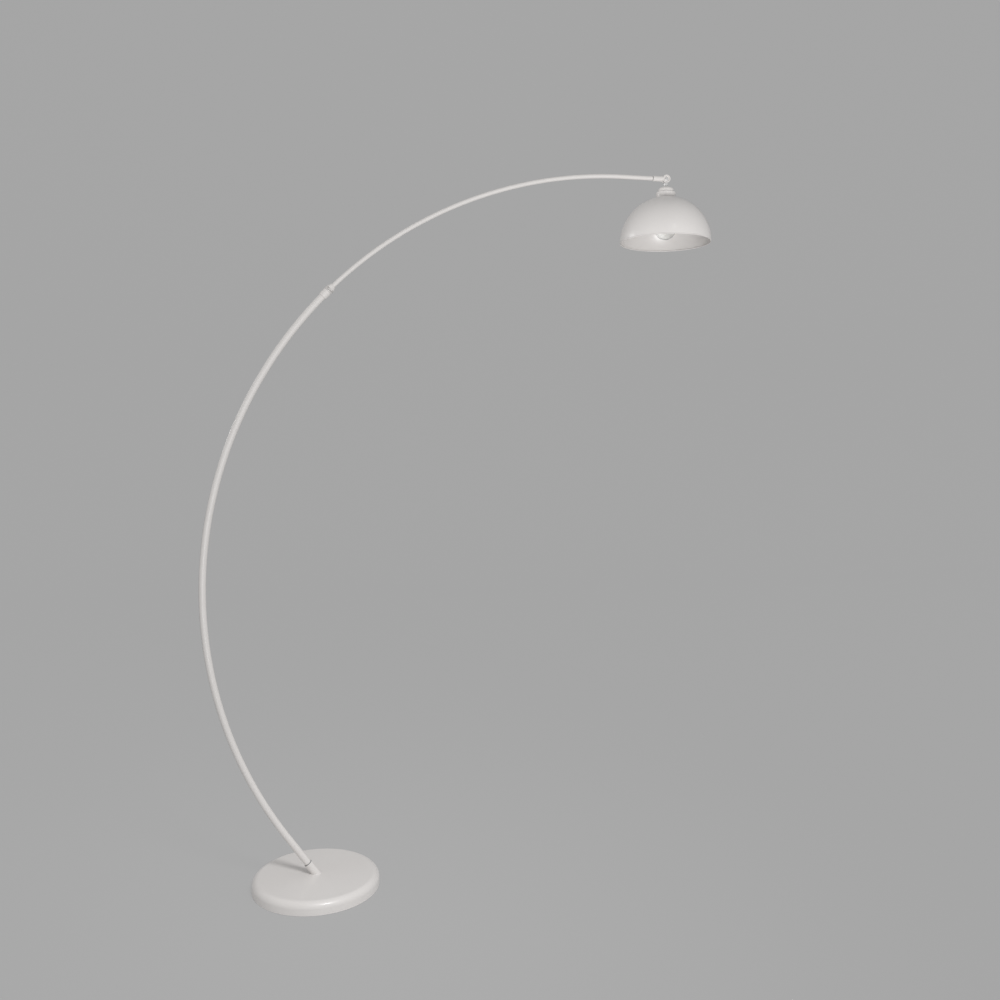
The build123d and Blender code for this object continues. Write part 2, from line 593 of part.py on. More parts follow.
with BuildPart() as arm_fitting:
    with BuildSketch(TIP_PLANE.offset(ARM_SEAL_WIDTH)):
        Circle(FITTING_DIAMETER / 2)
    extrude(amount=FITTING_LENGTH - ARM_SEAL_WIDTH)
    with BuildSketch(TIP_PLANE.offset(-FITTING_PLUG)):
        Circle(ARM_BORE / 2 - FIT)
    extrude(amount=FITTING_PLUG + ARM_SEAL_WIDTH)
    with BuildSketch(KNUCKLE_PLANE):
        Circle(KNUCKLE_DIAMETER / 2)
    extrude(amount=FORK_WIDTH / 2, both=True)
    with BuildSketch(KNUCKLE_PLANE):
        with Locations((-FORK_ROOT, 0)):
            Rectangle(2 * KNUCKLE_DIAMETER, 2 * KNUCKLE_DIAMETER, align=(Align.MIN, Align.CENTER))
    extrude(amount=FORK_SLOT / 2, both=True, mode=Mode.SUBTRACT)
    with BuildSketch(KNUCKLE_PLANE):
        Circle(PIVOT_DIAMETER / 2 + FIT)
    extrude(amount=FORK_WIDTH, both=True, mode=Mode.SUBTRACT)
    for face in (KNUCKLE_PLANE.offset(FORK_WIDTH / 2), KNUCKLE_PLANE.offset(-FORK_WIDTH / 2)):
        with BuildSketch(face):
            Circle(CHEEK_RECESS_DIAMETER / 2)
        depth = -CHEEK_RECESS_DEPTH if face.origin.Y < 0 else CHEEK_RECESS_DEPTH
        extrude(amount=depth, mode=Mode.SUBTRACT)
    with BuildSketch(TIP_PLANE.offset(-FITTING_PLUG)):
        Circle(FITTING_BORE / 2)
    extrude(amount=FITTING_PLUG + FITTING_LENGTH - FORK_ROOT, mode=Mode.SUBTRACT)

RECESS_FLOOR = FORK_WIDTH / 2 - CHEEK_RECESS_DEPTH
PIVOT_END = RECESS_FLOOR + PIVOT_NUT_HEIGHT + PIVOT_PROUD

with BuildPart() as knuckle_screw:
    with BuildSketch(KNUCKLE_PLANE.offset(RECESS_FLOOR)):
        Circle(PIVOT_HEAD_DIAMETER / 2)
    extrude(amount=PIVOT_HEAD_HEIGHT)
    with BuildSketch(KNUCKLE_PLANE.offset(RECESS_FLOOR + PIVOT_HEAD_HEIGHT)):
        Rectangle(PIVOT_SLOT_WIDTH, PIVOT_HEAD_DIAMETER)
    extrude(amount=-PIVOT_SLOT_DEPTH, mode=Mode.SUBTRACT)
    with BuildSketch(KNUCKLE_PLANE.offset(RECESS_FLOOR)):
        Circle(PIVOT_DIAMETER / 2)
    extrude(amount=-RECESS_FLOOR - PIVOT_END)

with BuildPart() as knuckle_nut:
    with BuildSketch(KNUCKLE_PLANE.offset(-RECESS_FLOOR)):
        RegularPolygon(PIVOT_NUT_FLATS / 2, 6, major_radius=False)
        Circle(PIVOT_DIAMETER / 2 + FIT, mode=Mode.SUBTRACT)
    extrude(amount=-PIVOT_NUT_HEIGHT)

with BuildPart() as friction_washers:
    for start in (FORK_SLOT / 2 - FRICTION_WASHER_THICKNESS, -FORK_SLOT / 2):
        with BuildSketch(KNUCKLE_PLANE.offset(start)):
            Circle(FRICTION_WASHER_DIAMETER / 2)
            Circle(PIVOT_DIAMETER / 2 + THREAD_FIT, mode=Mode.SUBTRACT)
        extrude(amount=FRICTION_WASHER_THICKNESS)

# Head: tongue, nipple with lock nut and stepped cup
PORT_PLANE = Plane((KNUCKLE_X, 0, KNUCKLE_Z - TONGUE_PORT_HEIGHT), x_dir=(0, 1, 0), z_dir=(-1, 0, 0))

with BuildPart() as knuckle_tongue:
    with BuildSketch(KNUCKLE_PLANE):
        Circle(TONGUE_DIAMETER / 2)
        Rectangle(TONGUE_NECK, -BOSS_TOP, align=(Align.CENTER, Align.MAX))
        Circle(PIVOT_DIAMETER / 2 + THREAD_FIT, mode=Mode.SUBTRACT)
    extrude(amount=TONGUE_THICKNESS / 2, both=True)
    with BuildSketch(head_plane(BOSS_BOTTOM)):
        Circle(BOSS_DIAMETER / 2)
    extrude(amount=BOSS_HEIGHT)
    with BuildSketch(head_plane(BOSS_BOTTOM)):
        Circle(NIPPLE_DIAMETER / 2 + FIT)
    extrude(amount=NIPPLE_SINK, mode=Mode.SUBTRACT)
    with BuildSketch(head_plane(BOSS_BOTTOM)):
        Circle(TONGUE_PORT / 2)
    extrude(amount=-TONGUE_PORT_HEIGHT - BOSS_BOTTOM, mode=Mode.SUBTRACT)
    with BuildSketch(PORT_PLANE):
        Circle(TONGUE_PORT / 2)
    extrude(amount=TONGUE_DIAMETER, mode=Mode.SUBTRACT)

NIPPLE_TOP = BOSS_BOTTOM + NIPPLE_SINK
NIPPLE_BOTTOM = HOLDER_TOP - NIPPLE_GRIP

with BuildPart() as nipple:
    revolve(
        ring(KNUCKLE_PLANE, NIPPLE_DIAMETER / 2, NIPPLE_BORE / 2, NIPPLE_BOTTOM, NIPPLE_TOP), axis=HEAD_AXIS
    )

with BuildPart() as nipple_lock_nut:
    with BuildSketch(head_plane(CUP_TOP)):
        RegularPolygon(NIPPLE_NUT_FLATS / 2, 6, major_radius=False)
        Circle(NIPPLE_DIAMETER / 2 + FIT, mode=Mode.SUBTRACT)
    extrude(amount=NIPPLE_NUT_HEIGHT)

CUP_HOLE = NIPPLE_DIAMETER / 2 + SEAT_FIT
CUP_DOME_RADIUS = CUP_DOME_DIAMETER / 2
CUP_RING_RADIUS = CUP_RING_DIAMETER / 2
CUP_FLAT = CUP_DOME_RADIUS - CUP_DOME_EDGE
CUP_SHOULDER = CUP_TOP - CUP_DOME_EDGE

with BuildPart() as holder_cup:
    with BuildSketch(KNUCKLE_PLANE):
        with BuildLine():
            Polyline(
                (CUP_FLAT, CUP_TOP - CUP_WALL),
                (CUP_HOLE, CUP_TOP - CUP_WALL),
                (CUP_HOLE, CUP_TOP),
                (CUP_FLAT, CUP_TOP),
            )
            CenterArc((CUP_FLAT, CUP_SHOULDER), CUP_DOME_EDGE, 0, 90)
            Polyline(
                (CUP_DOME_RADIUS, CUP_SHOULDER),
                (CUP_DOME_RADIUS, CUP_STEP),
                (CUP_RING_RADIUS, CUP_STEP),
                (CUP_RING_RADIUS, SHADE_TOP),
                (CUP_RING_RADIUS - CUP_WALL, SHADE_TOP),
                (CUP_RING_RADIUS - CUP_WALL, CUP_STEP - CUP_WALL),
                (CUP_DOME_RADIUS - CUP_WALL, CUP_STEP - CUP_WALL),
                (CUP_DOME_RADIUS - CUP_WALL, CUP_SHOULDER),
            )
            CenterArc((CUP_FLAT, CUP_SHOULDER), CUP_DOME_EDGE - CUP_WALL, 0, 90)
        make_face()
    revolve(axis=HEAD_AXIS)
    CUP_OUTER_EDGE = holder_cup.edges().filter_by(GeomType.CIRCLE).filter_by(
        lambda edge: abs(edge.radius - CUP_RING_RADIUS) < FIT
    )
    fillet(CUP_OUTER_EDGE.sort_by(Axis.Z)[-1], min(CUP_EDGE, CUP_WALL))

# Shade: a half sphere with a flat top and a rolled rim
SHADE_INNER_RADIUS = SHADE_RADIUS - SHADE_WALL
SHADE_INNER_TOP = SHADE_TOP - SHADE_WALL
SHADE_INNER_FLAT = sqrt(SHADE_INNER_RADIUS**2 - (SHADE_INNER_TOP - SHADE_RIM) ** 2)
SHADE_HOLE = HOLDER_DIAMETER / 2 + TURN_FIT
DOME_SLANT = radians(45)

with BuildPart() as shade:
    with BuildSketch(KNUCKLE_PLANE):
        with BuildLine():
            Line((SHADE_HOLE, SHADE_TOP), (SHADE_FLAT_DIAMETER / 2, SHADE_TOP))
            ThreePointArc(
                (SHADE_FLAT_DIAMETER / 2, SHADE_TOP),
                (SHADE_RADIUS * cos(DOME_SLANT), SHADE_RIM + SHADE_RADIUS * sin(DOME_SLANT)),
                (SHADE_RADIUS, SHADE_RIM),
            )
            Line((SHADE_RADIUS, SHADE_RIM), (SHADE_INNER_RADIUS, SHADE_RIM))
            ThreePointArc(
                (SHADE_INNER_RADIUS, SHADE_RIM),
                (SHADE_INNER_RADIUS * cos(DOME_SLANT), SHADE_RIM + SHADE_INNER_RADIUS * sin(DOME_SLANT)),
                (SHADE_INNER_FLAT, SHADE_INNER_TOP),
            )
            Polyline(
                (SHADE_INNER_FLAT, SHADE_INNER_TOP), (SHADE_HOLE, SHADE_INNER_TOP), (SHADE_HOLE, SHADE_TOP)
            )
        make_face()
    revolve(axis=HEAD_AXIS)
    with BuildSketch(KNUCKLE_PLANE):
        with Locations((SHADE_RADIUS - SHADE_BEAD_DIAMETER / 2, SHADE_RIM + SHADE_BEAD_DIAMETER / 2)):
            Circle(SHADE_BEAD_DIAMETER / 2)
    revolve(axis=HEAD_AXIS)

with BuildPart() as shade_ring:
    with BuildSketch(head_plane(SHADE_INNER_TOP)):
        Circle(SHADE_RING_DIAMETER / 2)
        Circle(HOLDER_DIAMETER / 2 + THREAD_FIT, mode=Mode.SUBTRACT)
        with PolarLocations(SHADE_RING_DIAMETER / 2, SHADE_RING_NOTCHES):
            Circle(SHADE_RING_NOTCH_DIAMETER / 2, mode=Mode.SUBTRACT)
    extrude(amount=-SHADE_RING_HEIGHT)

# Lamp holder: body, ceramic insert, screw shell, contacts and terminal screws
with BuildPart() as holder_body:
    revolve(
        turned(
            KNUCKLE_PLANE,
            (NIPPLE_DIAMETER / 2 + FIT, HOLDER_TOP),
            (HOLDER_NECK_DIAMETER / 2, HOLDER_TOP),
            (HOLDER_NECK_DIAMETER / 2, HOLDER_SHOULDER),
            (HOLDER_DIAMETER / 2, HOLDER_SHOULDER - HOLDER_LEDGE),
            (HOLDER_DIAMETER / 2, SHADE_TOP + HOLDER_FLANGE_THICKNESS),
            (HOLDER_FLANGE_DIAMETER / 2, SHADE_TOP + HOLDER_FLANGE_THICKNESS),
            (HOLDER_FLANGE_DIAMETER / 2, SHADE_TOP),
            (HOLDER_DIAMETER / 2, SHADE_TOP),
            (HOLDER_DIAMETER / 2, HOLDER_BOTTOM),
            (HOLDER_BORE_RADIUS, HOLDER_BOTTOM),
            (HOLDER_BORE_RADIUS, INSERT_TOP),
            (HOLDER_BORE_RADIUS - HOLDER_LEDGE, INSERT_TOP),
            (HOLDER_BORE_RADIUS - HOLDER_LEDGE, WIRING_TOP),
            (NIPPLE_DIAMETER / 2 + FIT, WIRING_TOP),
        ),
        axis=HEAD_AXIS,
    )

with BuildPart() as holder_insert:
    revolve(
        turned(
            KNUCKLE_PLANE,
            (0, INSERT_TOP),
            (INSERT_RADIUS, INSERT_TOP),
            (INSERT_RADIUS, INSERT_BOTTOM - INSERT_SLEEVE_LENGTH),
            (SHELL_OUTER_RADIUS + FIT, INSERT_BOTTOM - INSERT_SLEEVE_LENGTH),
            (SHELL_OUTER_RADIUS + FIT, INSERT_BOTTOM),
            (0, INSERT_BOTTOM),
        ),
        axis=HEAD_AXIS,
    )

with BuildPart() as holder_screw_shell:
    revolve(
        ring(
            KNUCKLE_PLANE, SHELL_OUTER_RADIUS, SHELL_INNER_RADIUS, INSERT_BOTTOM - SHELL_LENGTH, INSERT_BOTTOM
        ),
        axis=HEAD_AXIS,
    )

with BuildPart() as holder_contacts:
    with BuildSketch(head_plane(INSERT_BOTTOM)):
        Circle(CONTACT_DIAMETER / 2)
    extrude(amount=-CONTACT_THICKNESS)
    with BuildSketch(head_plane(INSERT_TOP)):
        with GridLocations(TERMINAL_SPACING, 0, 2, 1):
            Rectangle(TERMINAL_WIDTH, TERMINAL_DEPTH)
            Circle(TERMINAL_SCREW_DIAMETER / 2 + FIT, mode=Mode.SUBTRACT)
    extrude(amount=TERMINAL_HEIGHT)

with BuildPart() as terminal_screws:
    with BuildSketch(head_plane(INSERT_TOP)):
        with GridLocations(TERMINAL_SPACING, 0, 2, 1):
            Circle(TERMINAL_SCREW_DIAMETER / 2)
    extrude(amount=TERMINAL_HEIGHT)
    with BuildSketch(head_plane(INSERT_TOP + TERMINAL_HEIGHT)):
        with GridLocations(TERMINAL_SPACING, 0, 2, 1):
            Circle(TERMINAL_SCREW_HEAD / 2)
    extrude(amount=TERMINAL_SCREW_HEAD_HEIGHT)

with BuildPart() as head_lead:
    with BuildSketch(head_plane(INSERT_TOP)):
        Circle(LEAD_DIAMETER / 2)
    extrude(amount=BOSS_BOTTOM - INSERT_TOP)


def bulb_section(inset):
    """Half section inside the bulb's glass, drawn in from its outside by an inset."""
    globe = BULB_DIAMETER / 2 - inset
    neck = GLASS_NECK_RADIUS - inset
    drop = NECK_END - BULB_MIDDLE
    bend = (drop**2 - globe**2 + neck**2) / (2 * (globe - neck))
    meeting = degrees(atan2(drop, neck + bend))
    top = GLASS_TOP - inset
    with BuildSketch(KNUCKLE_PLANE) as section:
        with BuildLine():
            Polyline((0, BULB_MIDDLE - globe), (0, top), (neck, top), (neck, NECK_END))
            CenterArc((neck + bend, NECK_END), bend, 180, meeting)
            CenterArc((0, BULB_MIDDLE), globe, meeting, -90 - meeting)
        make_face()
    return section.sketch


# Bulb: cap, glass and the filaments on their stem
with BuildPart() as bulb_glass:
    revolve(bulb_section(0), axis=HEAD_AXIS)
    revolve(bulb_section(BULB_GLASS), axis=HEAD_AXIS, mode=Mode.SUBTRACT)

with BuildPart() as bulb_cap:
    revolve(
        turned(
            KNUCKLE_PLANE,
            (CAP_SHOULDER_DIAMETER / 2 - CAP_WALL, CAP_TOP),
            (CAP_SHOULDER_DIAMETER / 2, CAP_TOP),
            (CAP_DIAMETER / 2, CAP_TOP - CAP_SHOULDER_HEIGHT),
            (CAP_DIAMETER / 2, CAP_BOTTOM),
            (CAP_DIAMETER / 2 - CAP_WALL, CAP_BOTTOM),
            (CAP_DIAMETER / 2 - CAP_WALL, CAP_TOP - CAP_SHOULDER_HEIGHT),
        ),
        axis=HEAD_AXIS,
    )

with BuildPart() as bulb_insulator:
    revolve(
        turned(
            KNUCKLE_PLANE,
            (0, CAP_TOP),
            (CAP_SHOULDER_DIAMETER / 2, CAP_TOP),
            (TIP_CONTACT_DIAMETER / 2, CAP_TOP + TIP_INSULATOR_HEIGHT),
            (0, CAP_TOP + TIP_INSULATOR_HEIGHT),
        ),
        axis=HEAD_AXIS,
    )

with BuildPart() as bulb_contact:
    with BuildSketch(head_plane(BULB_TOP)):
        Circle(TIP_CONTACT_DIAMETER / 2)
    extrude(amount=-TIP_CONTACT_HEIGHT)

STEM_FOOT = GLASS_TOP - BULB_GLASS

with BuildPart() as bulb_stem:
    revolve(
        turned(
            KNUCKLE_PLANE,
            (0, STEM_FOOT),
            (GLASS_NECK_RADIUS - BULB_GLASS - FIT, STEM_FOOT),
            (STEM_ROD_DIAMETER / 2, STEM_ROD_TOP),
            (STEM_ROD_DIAMETER / 2, FILAMENT_TOP),
            (0, FILAMENT_TOP),
        ),
        axis=HEAD_AXIS,
    )

with BuildPart() as filament_wires:
    with BuildSketch(head_plane(FILAMENT_TOP)):
        Circle(WIRE_DIAMETER / 2)
    extrude(amount=-FILAMENT_LENGTH - 2 * WIRE_DIAMETER)
    for level in (FILAMENT_TOP - WIRE_DIAMETER / 2, FILAMENT_BOTTOM - 3 * WIRE_DIAMETER / 2):
        with BuildSketch(head_plane(level)):
            with PolarLocations(0, FILAMENT_COUNT):
                Rectangle(
                    (FILAMENT_CIRCLE + FILAMENT_DIAMETER) / 2, WIRE_DIAMETER, align=(Align.MIN, Align.CENTER)
                )
        extrude(amount=WIRE_DIAMETER / 2, both=True)

with BuildPart() as bulb_filaments:
    with BuildSketch(head_plane(FILAMENT_TOP - WIRE_DIAMETER)):
        with PolarLocations(FILAMENT_CIRCLE / 2, FILAMENT_COUNT):
            Circle(FILAMENT_DIAMETER / 2)
    extrude(amount=-FILAMENT_LENGTH)

PIECES = {
    "felt_pad": felt_pad,
    "base_plate": base_plate,
    "plate_screws": plate_screws,
    "base_weight": base_weight,
    "base_cover": base_cover,
    "cord_grommet": cord_grommet,
    "pole_socket": pole_socket,
    "pole_set_screw": pole_set_screw,
    "socket_seal": socket_seal,
    "socket_washer": socket_washer,
    "socket_nut": socket_nut,
    "lower_pole": lower_pole,
    "pole_lead": pole_lead,
    "pole_collar": pole_collar,
    "collet": collet,
    "lock_nut": lock_nut,
    "upper_arm": upper_arm,
    "arm_guide_bush": arm_guide_bush,
    "arm_lead": arm_lead,
    "arm_seal": arm_seal,
    "arm_fitting": arm_fitting,
    "knuckle_screw": knuckle_screw,
    "knuckle_nut": knuckle_nut,
    "friction_washers": friction_washers,
    "knuckle_tongue": knuckle_tongue,
    "nipple": nipple,
    "nipple_lock_nut": nipple_lock_nut,
    "holder_cup": holder_cup,
    "shade": shade,
    "shade_ring": shade_ring,
    "holder_body": holder_body,
    "holder_insert": holder_insert,
    "holder_screw_shell": holder_screw_shell,
    "holder_contacts": holder_contacts,
    "terminal_screws": terminal_screws,
    "head_lead": head_lead,
    "bulb_glass": bulb_glass,
    "bulb_cap": bulb_cap,
    "bulb_insulator": bulb_insulator,
    "bulb_contact": bulb_contact,
    "bulb_stem": bulb_stem,
    "filament_wires": filament_wires,
    "bulb_filaments": bulb_filaments,
}

for name, piece in PIECES.items():
    piece.part.label = name
    export_step(piece.part, f"parts/{name}.step")
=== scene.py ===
"""Looks of the arc floor lamp: fine meshes, finishes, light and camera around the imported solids.

Metres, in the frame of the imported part: the origin is under the middle of the base, +Z is up and the arm
reaches along +X. Places come from the frame, and each fine mesh stands for the CAD node of the same name.
"""

import json
from math import asin, atan2, cos, pi, radians, sin, sqrt, tan

import bmesh
import bpy
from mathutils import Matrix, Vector


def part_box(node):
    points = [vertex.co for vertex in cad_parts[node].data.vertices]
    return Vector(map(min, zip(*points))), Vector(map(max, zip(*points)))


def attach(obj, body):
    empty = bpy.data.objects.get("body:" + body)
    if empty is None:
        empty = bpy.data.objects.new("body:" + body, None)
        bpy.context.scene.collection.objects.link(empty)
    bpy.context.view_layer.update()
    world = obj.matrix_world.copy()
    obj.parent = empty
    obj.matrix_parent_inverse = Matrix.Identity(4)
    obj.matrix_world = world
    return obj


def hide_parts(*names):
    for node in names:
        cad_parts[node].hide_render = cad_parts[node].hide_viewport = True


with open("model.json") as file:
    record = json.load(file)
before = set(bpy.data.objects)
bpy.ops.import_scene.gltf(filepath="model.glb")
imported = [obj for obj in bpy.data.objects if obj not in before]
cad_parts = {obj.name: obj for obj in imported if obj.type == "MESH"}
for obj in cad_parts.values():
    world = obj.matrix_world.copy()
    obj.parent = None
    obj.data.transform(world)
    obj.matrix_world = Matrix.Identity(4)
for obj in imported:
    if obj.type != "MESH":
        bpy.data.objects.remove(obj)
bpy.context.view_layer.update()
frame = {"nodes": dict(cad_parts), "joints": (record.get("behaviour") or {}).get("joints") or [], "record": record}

MM = 0.001
X = Vector((1, 0, 0))
Y = Vector((0, 1, 0))
Z = Vector((0, 0, 1))

# What the frame says about bodies, slots and joints
RECORD = frame["record"]
BODY_OF = {node: body for body, nodes in RECORD["behaviour"]["bodies"].items() for node in nodes}
SLOT_OF = {row["node"]: row["material_slot"] for row in RECORD["subparts"]}
JOINTS = {joint["name"]: joint for joint in frame["joints"]}
ARC_CENTRE = Vector(JOINTS["arm_slide"]["pos_m"])
KNUCKLE = Vector(JOINTS["head_tilt"]["pos_m"])
NUT_SEAT = Vector(JOINTS["lock_nut_turn"]["pos_m"])
NUT_AXIS = Vector(JOINTS["lock_nut_turn"]["axis"]).normalized()
ARC_RADIUS = KNUCKLE.z - ARC_CENTRE.z

# Fineness of meshes and textures
TURNS = 192
SMALL_TURNS = 96
BEND_STEP = 8 * MM
SHARP_ANGLE = radians(32)
EDGE_STEPS = 6
FINE_EDGE_STEPS = 24
SHADE_STEPS = 72
GLOBE_STEPS = 60
GRIP_STEPS = 12
SKIRT_STEPS = 120
CAP_STEPS = 100
CUP_STEPS = 16
STEM_STEPS = 10
TONE_DETAIL = 4
BUMP_DETAIL = 2

# Base and socket
COVER_WALL = 1.2 * MM
COVER_EDGE = 18 * MM
COVER_HEM = 0.5 * MM
PAD_EDGE = 0.7 * MM
PAD_WAVE = 0.12 * MM
PAD_WAVES = (11, 29, 53)
PAD_WAVE_REACH = 8
SOCKET_LENGTH = 36 * MM
POLE_INSERT = 26 * MM
SOCKET_RIM = 0.5 * MM
WELD_FILLET = 1.4 * MM
SPIGOT_RADIUS = 8 * MM
SPIGOT_HOLE_RADIUS = 8.2 * MM
SPIGOT_BORE_RADIUS = 5 * MM
SCREW_HOLE_RADIUS = 2.55 * MM
SEAL_EDGE = 0.5 * MM
SOCKET_SEAL_HEIGHT = 1.8 * MM
GROMMET_BORE_RADIUS = 3.6 * MM
GROMMET_NECK_RADIUS = 5.5 * MM
GROMMET_LIP = 2 * MM
GROMMET_ROUND = 0.7 * MM

# Tubes and telescope clamp
POLE_WALL = 1.2 * MM
ARM_WALL = 1.0 * MM
TUBE_EDGE = 0.25 * MM
COLLAR_LENGTH = 20 * MM
COLLAR_EDGE = 0.7 * MM
COLLAR_SPIGOT_LENGTH = 30 * MM
COLLAR_NOSE_LENGTH = 8 * MM
COLLAR_NOSE_RADIUS = 8.2 * MM
COLLAR_BORE_RADIUS = 6.3 * MM
NUT_LENGTH = 20 * MM
NUT_GRIP = 10 * MM
NUT_TIP_RADIUS = 7.7 * MM
NUT_BORE_RADIUS = 6.6 * MM
NUT_CHAMBER_RADIUS = 8.5 * MM
NUT_LIP = 2.5 * MM
NUT_GAP = 0.3 * MM
NUT_EDGE = 0.6 * MM
FLUTES = 30
FLUTE_DEPTH = 0.35 * MM
FLUTE_RUNOUT = 1.2 * MM
FLUTE_SHARPNESS = 1.5
FLUTE_TURNS = 8
BUSH_LENGTH = 45 * MM
BUSH_GAP = 0.5 * MM
ARM_RUN = 85 * MM

# Knuckle
ARM_SEAL_WIDTH = 1.2 * MM
FITTING_LENGTH = 40 * MM
FITTING_RADIUS = 7.5 * MM
FITTING_PLUG = 20 * MM
FITTING_PLUG_RADIUS = 4.95 * MM
FITTING_BORE_RADIUS = 2.3 * MM
FITTING_EDGE = 0.6 * MM
CHEEK_EDGE = 0.9 * MM
CHEEK_RADIUS = 11 * MM
FORK_SLOT = 7.7 * MM
FORK_WIDTH = 15.7 * MM
FORK_ROOT = 11.5 * MM
RECESS_RADIUS = 8 * MM
RECESS_DEPTH = 2.4 * MM
PIVOT_RADIUS = 2.5 * MM
PIVOT_CLEARANCE = 0.05 * MM
PIVOT_HEAD_RADIUS = 4.7 * MM
PIVOT_HEAD_HEIGHT = 2.4 * MM
PIVOT_HEAD_EDGE = 0.7 * MM
PIVOT_SLOT_WIDTH = 1.4 * MM
PIVOT_SLOT_DEPTH = 1.2 * MM
PIVOT_NUT_FLATS = 8 * MM
PIVOT_NUT_HEIGHT = 3.2 * MM
PIVOT_PROUD = 0.8 * MM
TONGUE_RADIUS = 10.5 * MM
TONGUE_THICKNESS = 6 * MM
TONGUE_NECK = 10 * MM
BOSS_EDGE = 0.6 * MM
NUT_CORNER = 0.5 * MM
NUT_FACE = 0.98

# Head
NIPPLE_RADIUS = 5 * MM
NIPPLE_NUT_FLATS = 13 * MM
CUP_WALL = 1.2 * MM
CUP_HOLE_RADIUS = 5.2 * MM
CUP_DOME_RADIUS = 22 * MM
CUP_DOME_HEIGHT = 14 * MM
CUP_DOME_EDGE = 9.5 * MM
CUP_EDGE = 1.1 * MM
SHADE_WALL = 1.0 * MM
SHADE_HOLE_RADIUS = 19.8 * MM
SHADE_BEAD_RADIUS = 1.5 * MM
BEAD_START = radians(60)
BEAD_END = radians(-240)
HOLDER_RADIUS = 19.5 * MM
HOLDER_NECK_RADIUS = 8.5 * MM
HOLDER_NECK_HEIGHT = 6 * MM
HOLDER_WIRING = 7 * MM
HOLDER_WALL = 3 * MM
HOLDER_LEDGE = 1.5 * MM
HOLDER_FLANGE_RADIUS = 24 * MM
HOLDER_FLANGE_THICKNESS = 2.5 * MM
HOLDER_EDGE = 0.6 * MM
HOLDER_PITCH = 2.5 * MM
HOLDER_THREAD = 0.7 * MM
HOLDER_SKIRT_DROP = 1.5 * HOLDER_PITCH
RING_NOTCHES = 12
RING_NOTCH_RADIUS = 2 * MM

# Bulb
GLASS_WALL = 0.8 * MM
GLASS_NECK_RADIUS = 12.65 * MM
GLASS_NECK_RUN = 10 * MM
CAP_WALL = 0.4 * MM
CAP_PITCH = 3.6 * MM
CAP_THREAD = 0.75 * MM
CAP_SHOULDER_RADIUS = 10.5 * MM
CAP_SHOULDER = 2.5 * MM
CAP_SKIRT = 5 * MM
STEM_ROD_RADIUS = 3.5 * MM
STEM_FLARE = 16 * MM
STEM_BEND = 4 * MM
FILAMENTS = 4
FILAMENT_RADIUS = 0.9 * MM
FILAMENT_CIRCLE_RADIUS = 7 * MM
FILAMENT_CLIP = 2.2 * MM


def low(node):
    """Lowest corner of a CAD node."""
    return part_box(node)[0]


def high(node):
    """Highest corner of a CAD node."""
    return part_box(node)[1]


def radius_of(node):
    """Half of a round node's width across the arm's plane."""
    return (high(node).y - low(node).y) / 2


def arc_angle(point):
    """Polar angle about the arc's centre, from +X towards +Z and all the way round."""
    return atan2(point.z - ARC_CENTRE.z, point.x - ARC_CENTRE.x) % (2 * pi)


def outward(angle):
    """Direction away from the arc's centre."""
    return X * cos(angle) + Z * sin(angle)


# Angles of the arc and lengths along the tubes, counted from the base's top: the foot's line touches the arc
BASE_TOP = high("base_cover").z
FOOT = Z * BASE_TOP
FOOT_RUN = sqrt((FOOT - ARC_CENTRE).length_squared - ARC_RADIUS**2)
BEND_ANGLE = arc_angle(FOOT) - atan2(FOOT_RUN, ARC_RADIUS)
FOOT_OUTWARD = outward(BEND_ANGLE)
FOOT_HEADING = FOOT_OUTWARD.cross(Y) * -1
BEND_END = FOOT_RUN + ARC_RADIUS * (BEND_ANGLE - pi / 2)
COLLAR_TOP = FOOT_RUN + ARC_RADIUS * (BEND_ANGLE - arc_angle(NUT_SEAT))
POLE_TOP = COLLAR_TOP - COLLAR_LENGTH
POLE_FOOT = SOCKET_LENGTH - POLE_INSERT
ARM_FOOT = POLE_TOP - COLLAR_SPIGOT_LENGTH - BUSH_GAP - BUSH_LENGTH
ARM_TIP = BEND_END + ARM_RUN


def outline(*corners, steps=EDGE_STEPS):
    """Closed outline through corners (height, radius, rounding), with each rounded corner drawn as an arc."""
    points = []
    for place, (height, radius, rounding) in enumerate(corners):
        here = Vector((height, radius))
        if not rounding:
            points.append((height, radius))
            continue
        before = (Vector(corners[place - 1][:2]) - here).normalized()
        after = (Vector(corners[(place + 1) % len(corners)][:2]) - here).normalized()
        half = before.angle(after) / 2
        centre = here + (before + after).normalized() * rounding / sin(half)
        start = here + before * rounding / tan(half) - centre
        end = here + after * rounding / tan(half) - centre
        first = atan2(start.y, start.x)
        sweep = (atan2(end.y, end.x) - first + pi) % (2 * pi) - pi
        for step in range(steps + 1):
            angle = first + sweep * step / steps
            points.append((centre.x + rounding * cos(angle), centre.y + rounding * sin(angle)))
    return points


def arc_points(height, radius, reach, start, end, steps):
    """Points (height, radius) of an arc about a centre, angles counted from the radius towards the height."""
    angles = [start + (end - start) * step / steps for step in range(steps + 1)]
    return [(height + reach * sin(angle), radius + reach * cos(angle)) for angle in angles]


def straight(origin, axis, across):
    """Places rings along a straight axis."""
    side = axis.cross(across)
    return lambda height: (origin + axis * height, across, side)


def along_tubes(run):
    """Places rings along the tubes' shared line: up from the base, round the arc, level to the knuckle."""
    if run < FOOT_RUN:
        return FOOT + FOOT_HEADING * run, FOOT_OUTWARD, Y
    if run > BEND_END:
        return ARC_CENTRE + X * (run - BEND_END) + Z * ARC_RADIUS, Z, Y
    across = outward(BEND_ANGLE - (run - FOOT_RUN) / ARC_RADIUS)
    return ARC_CENTRE + across * ARC_RADIUS, across, Y


def round_tube(run, radius, angle):
    """Point beside the tubes' shared line, at a run along it and an angle round it."""
    centre, across, side = along_tubes(run)
    return centre + across * radius * cos(angle) + side * radius * sin(angle)


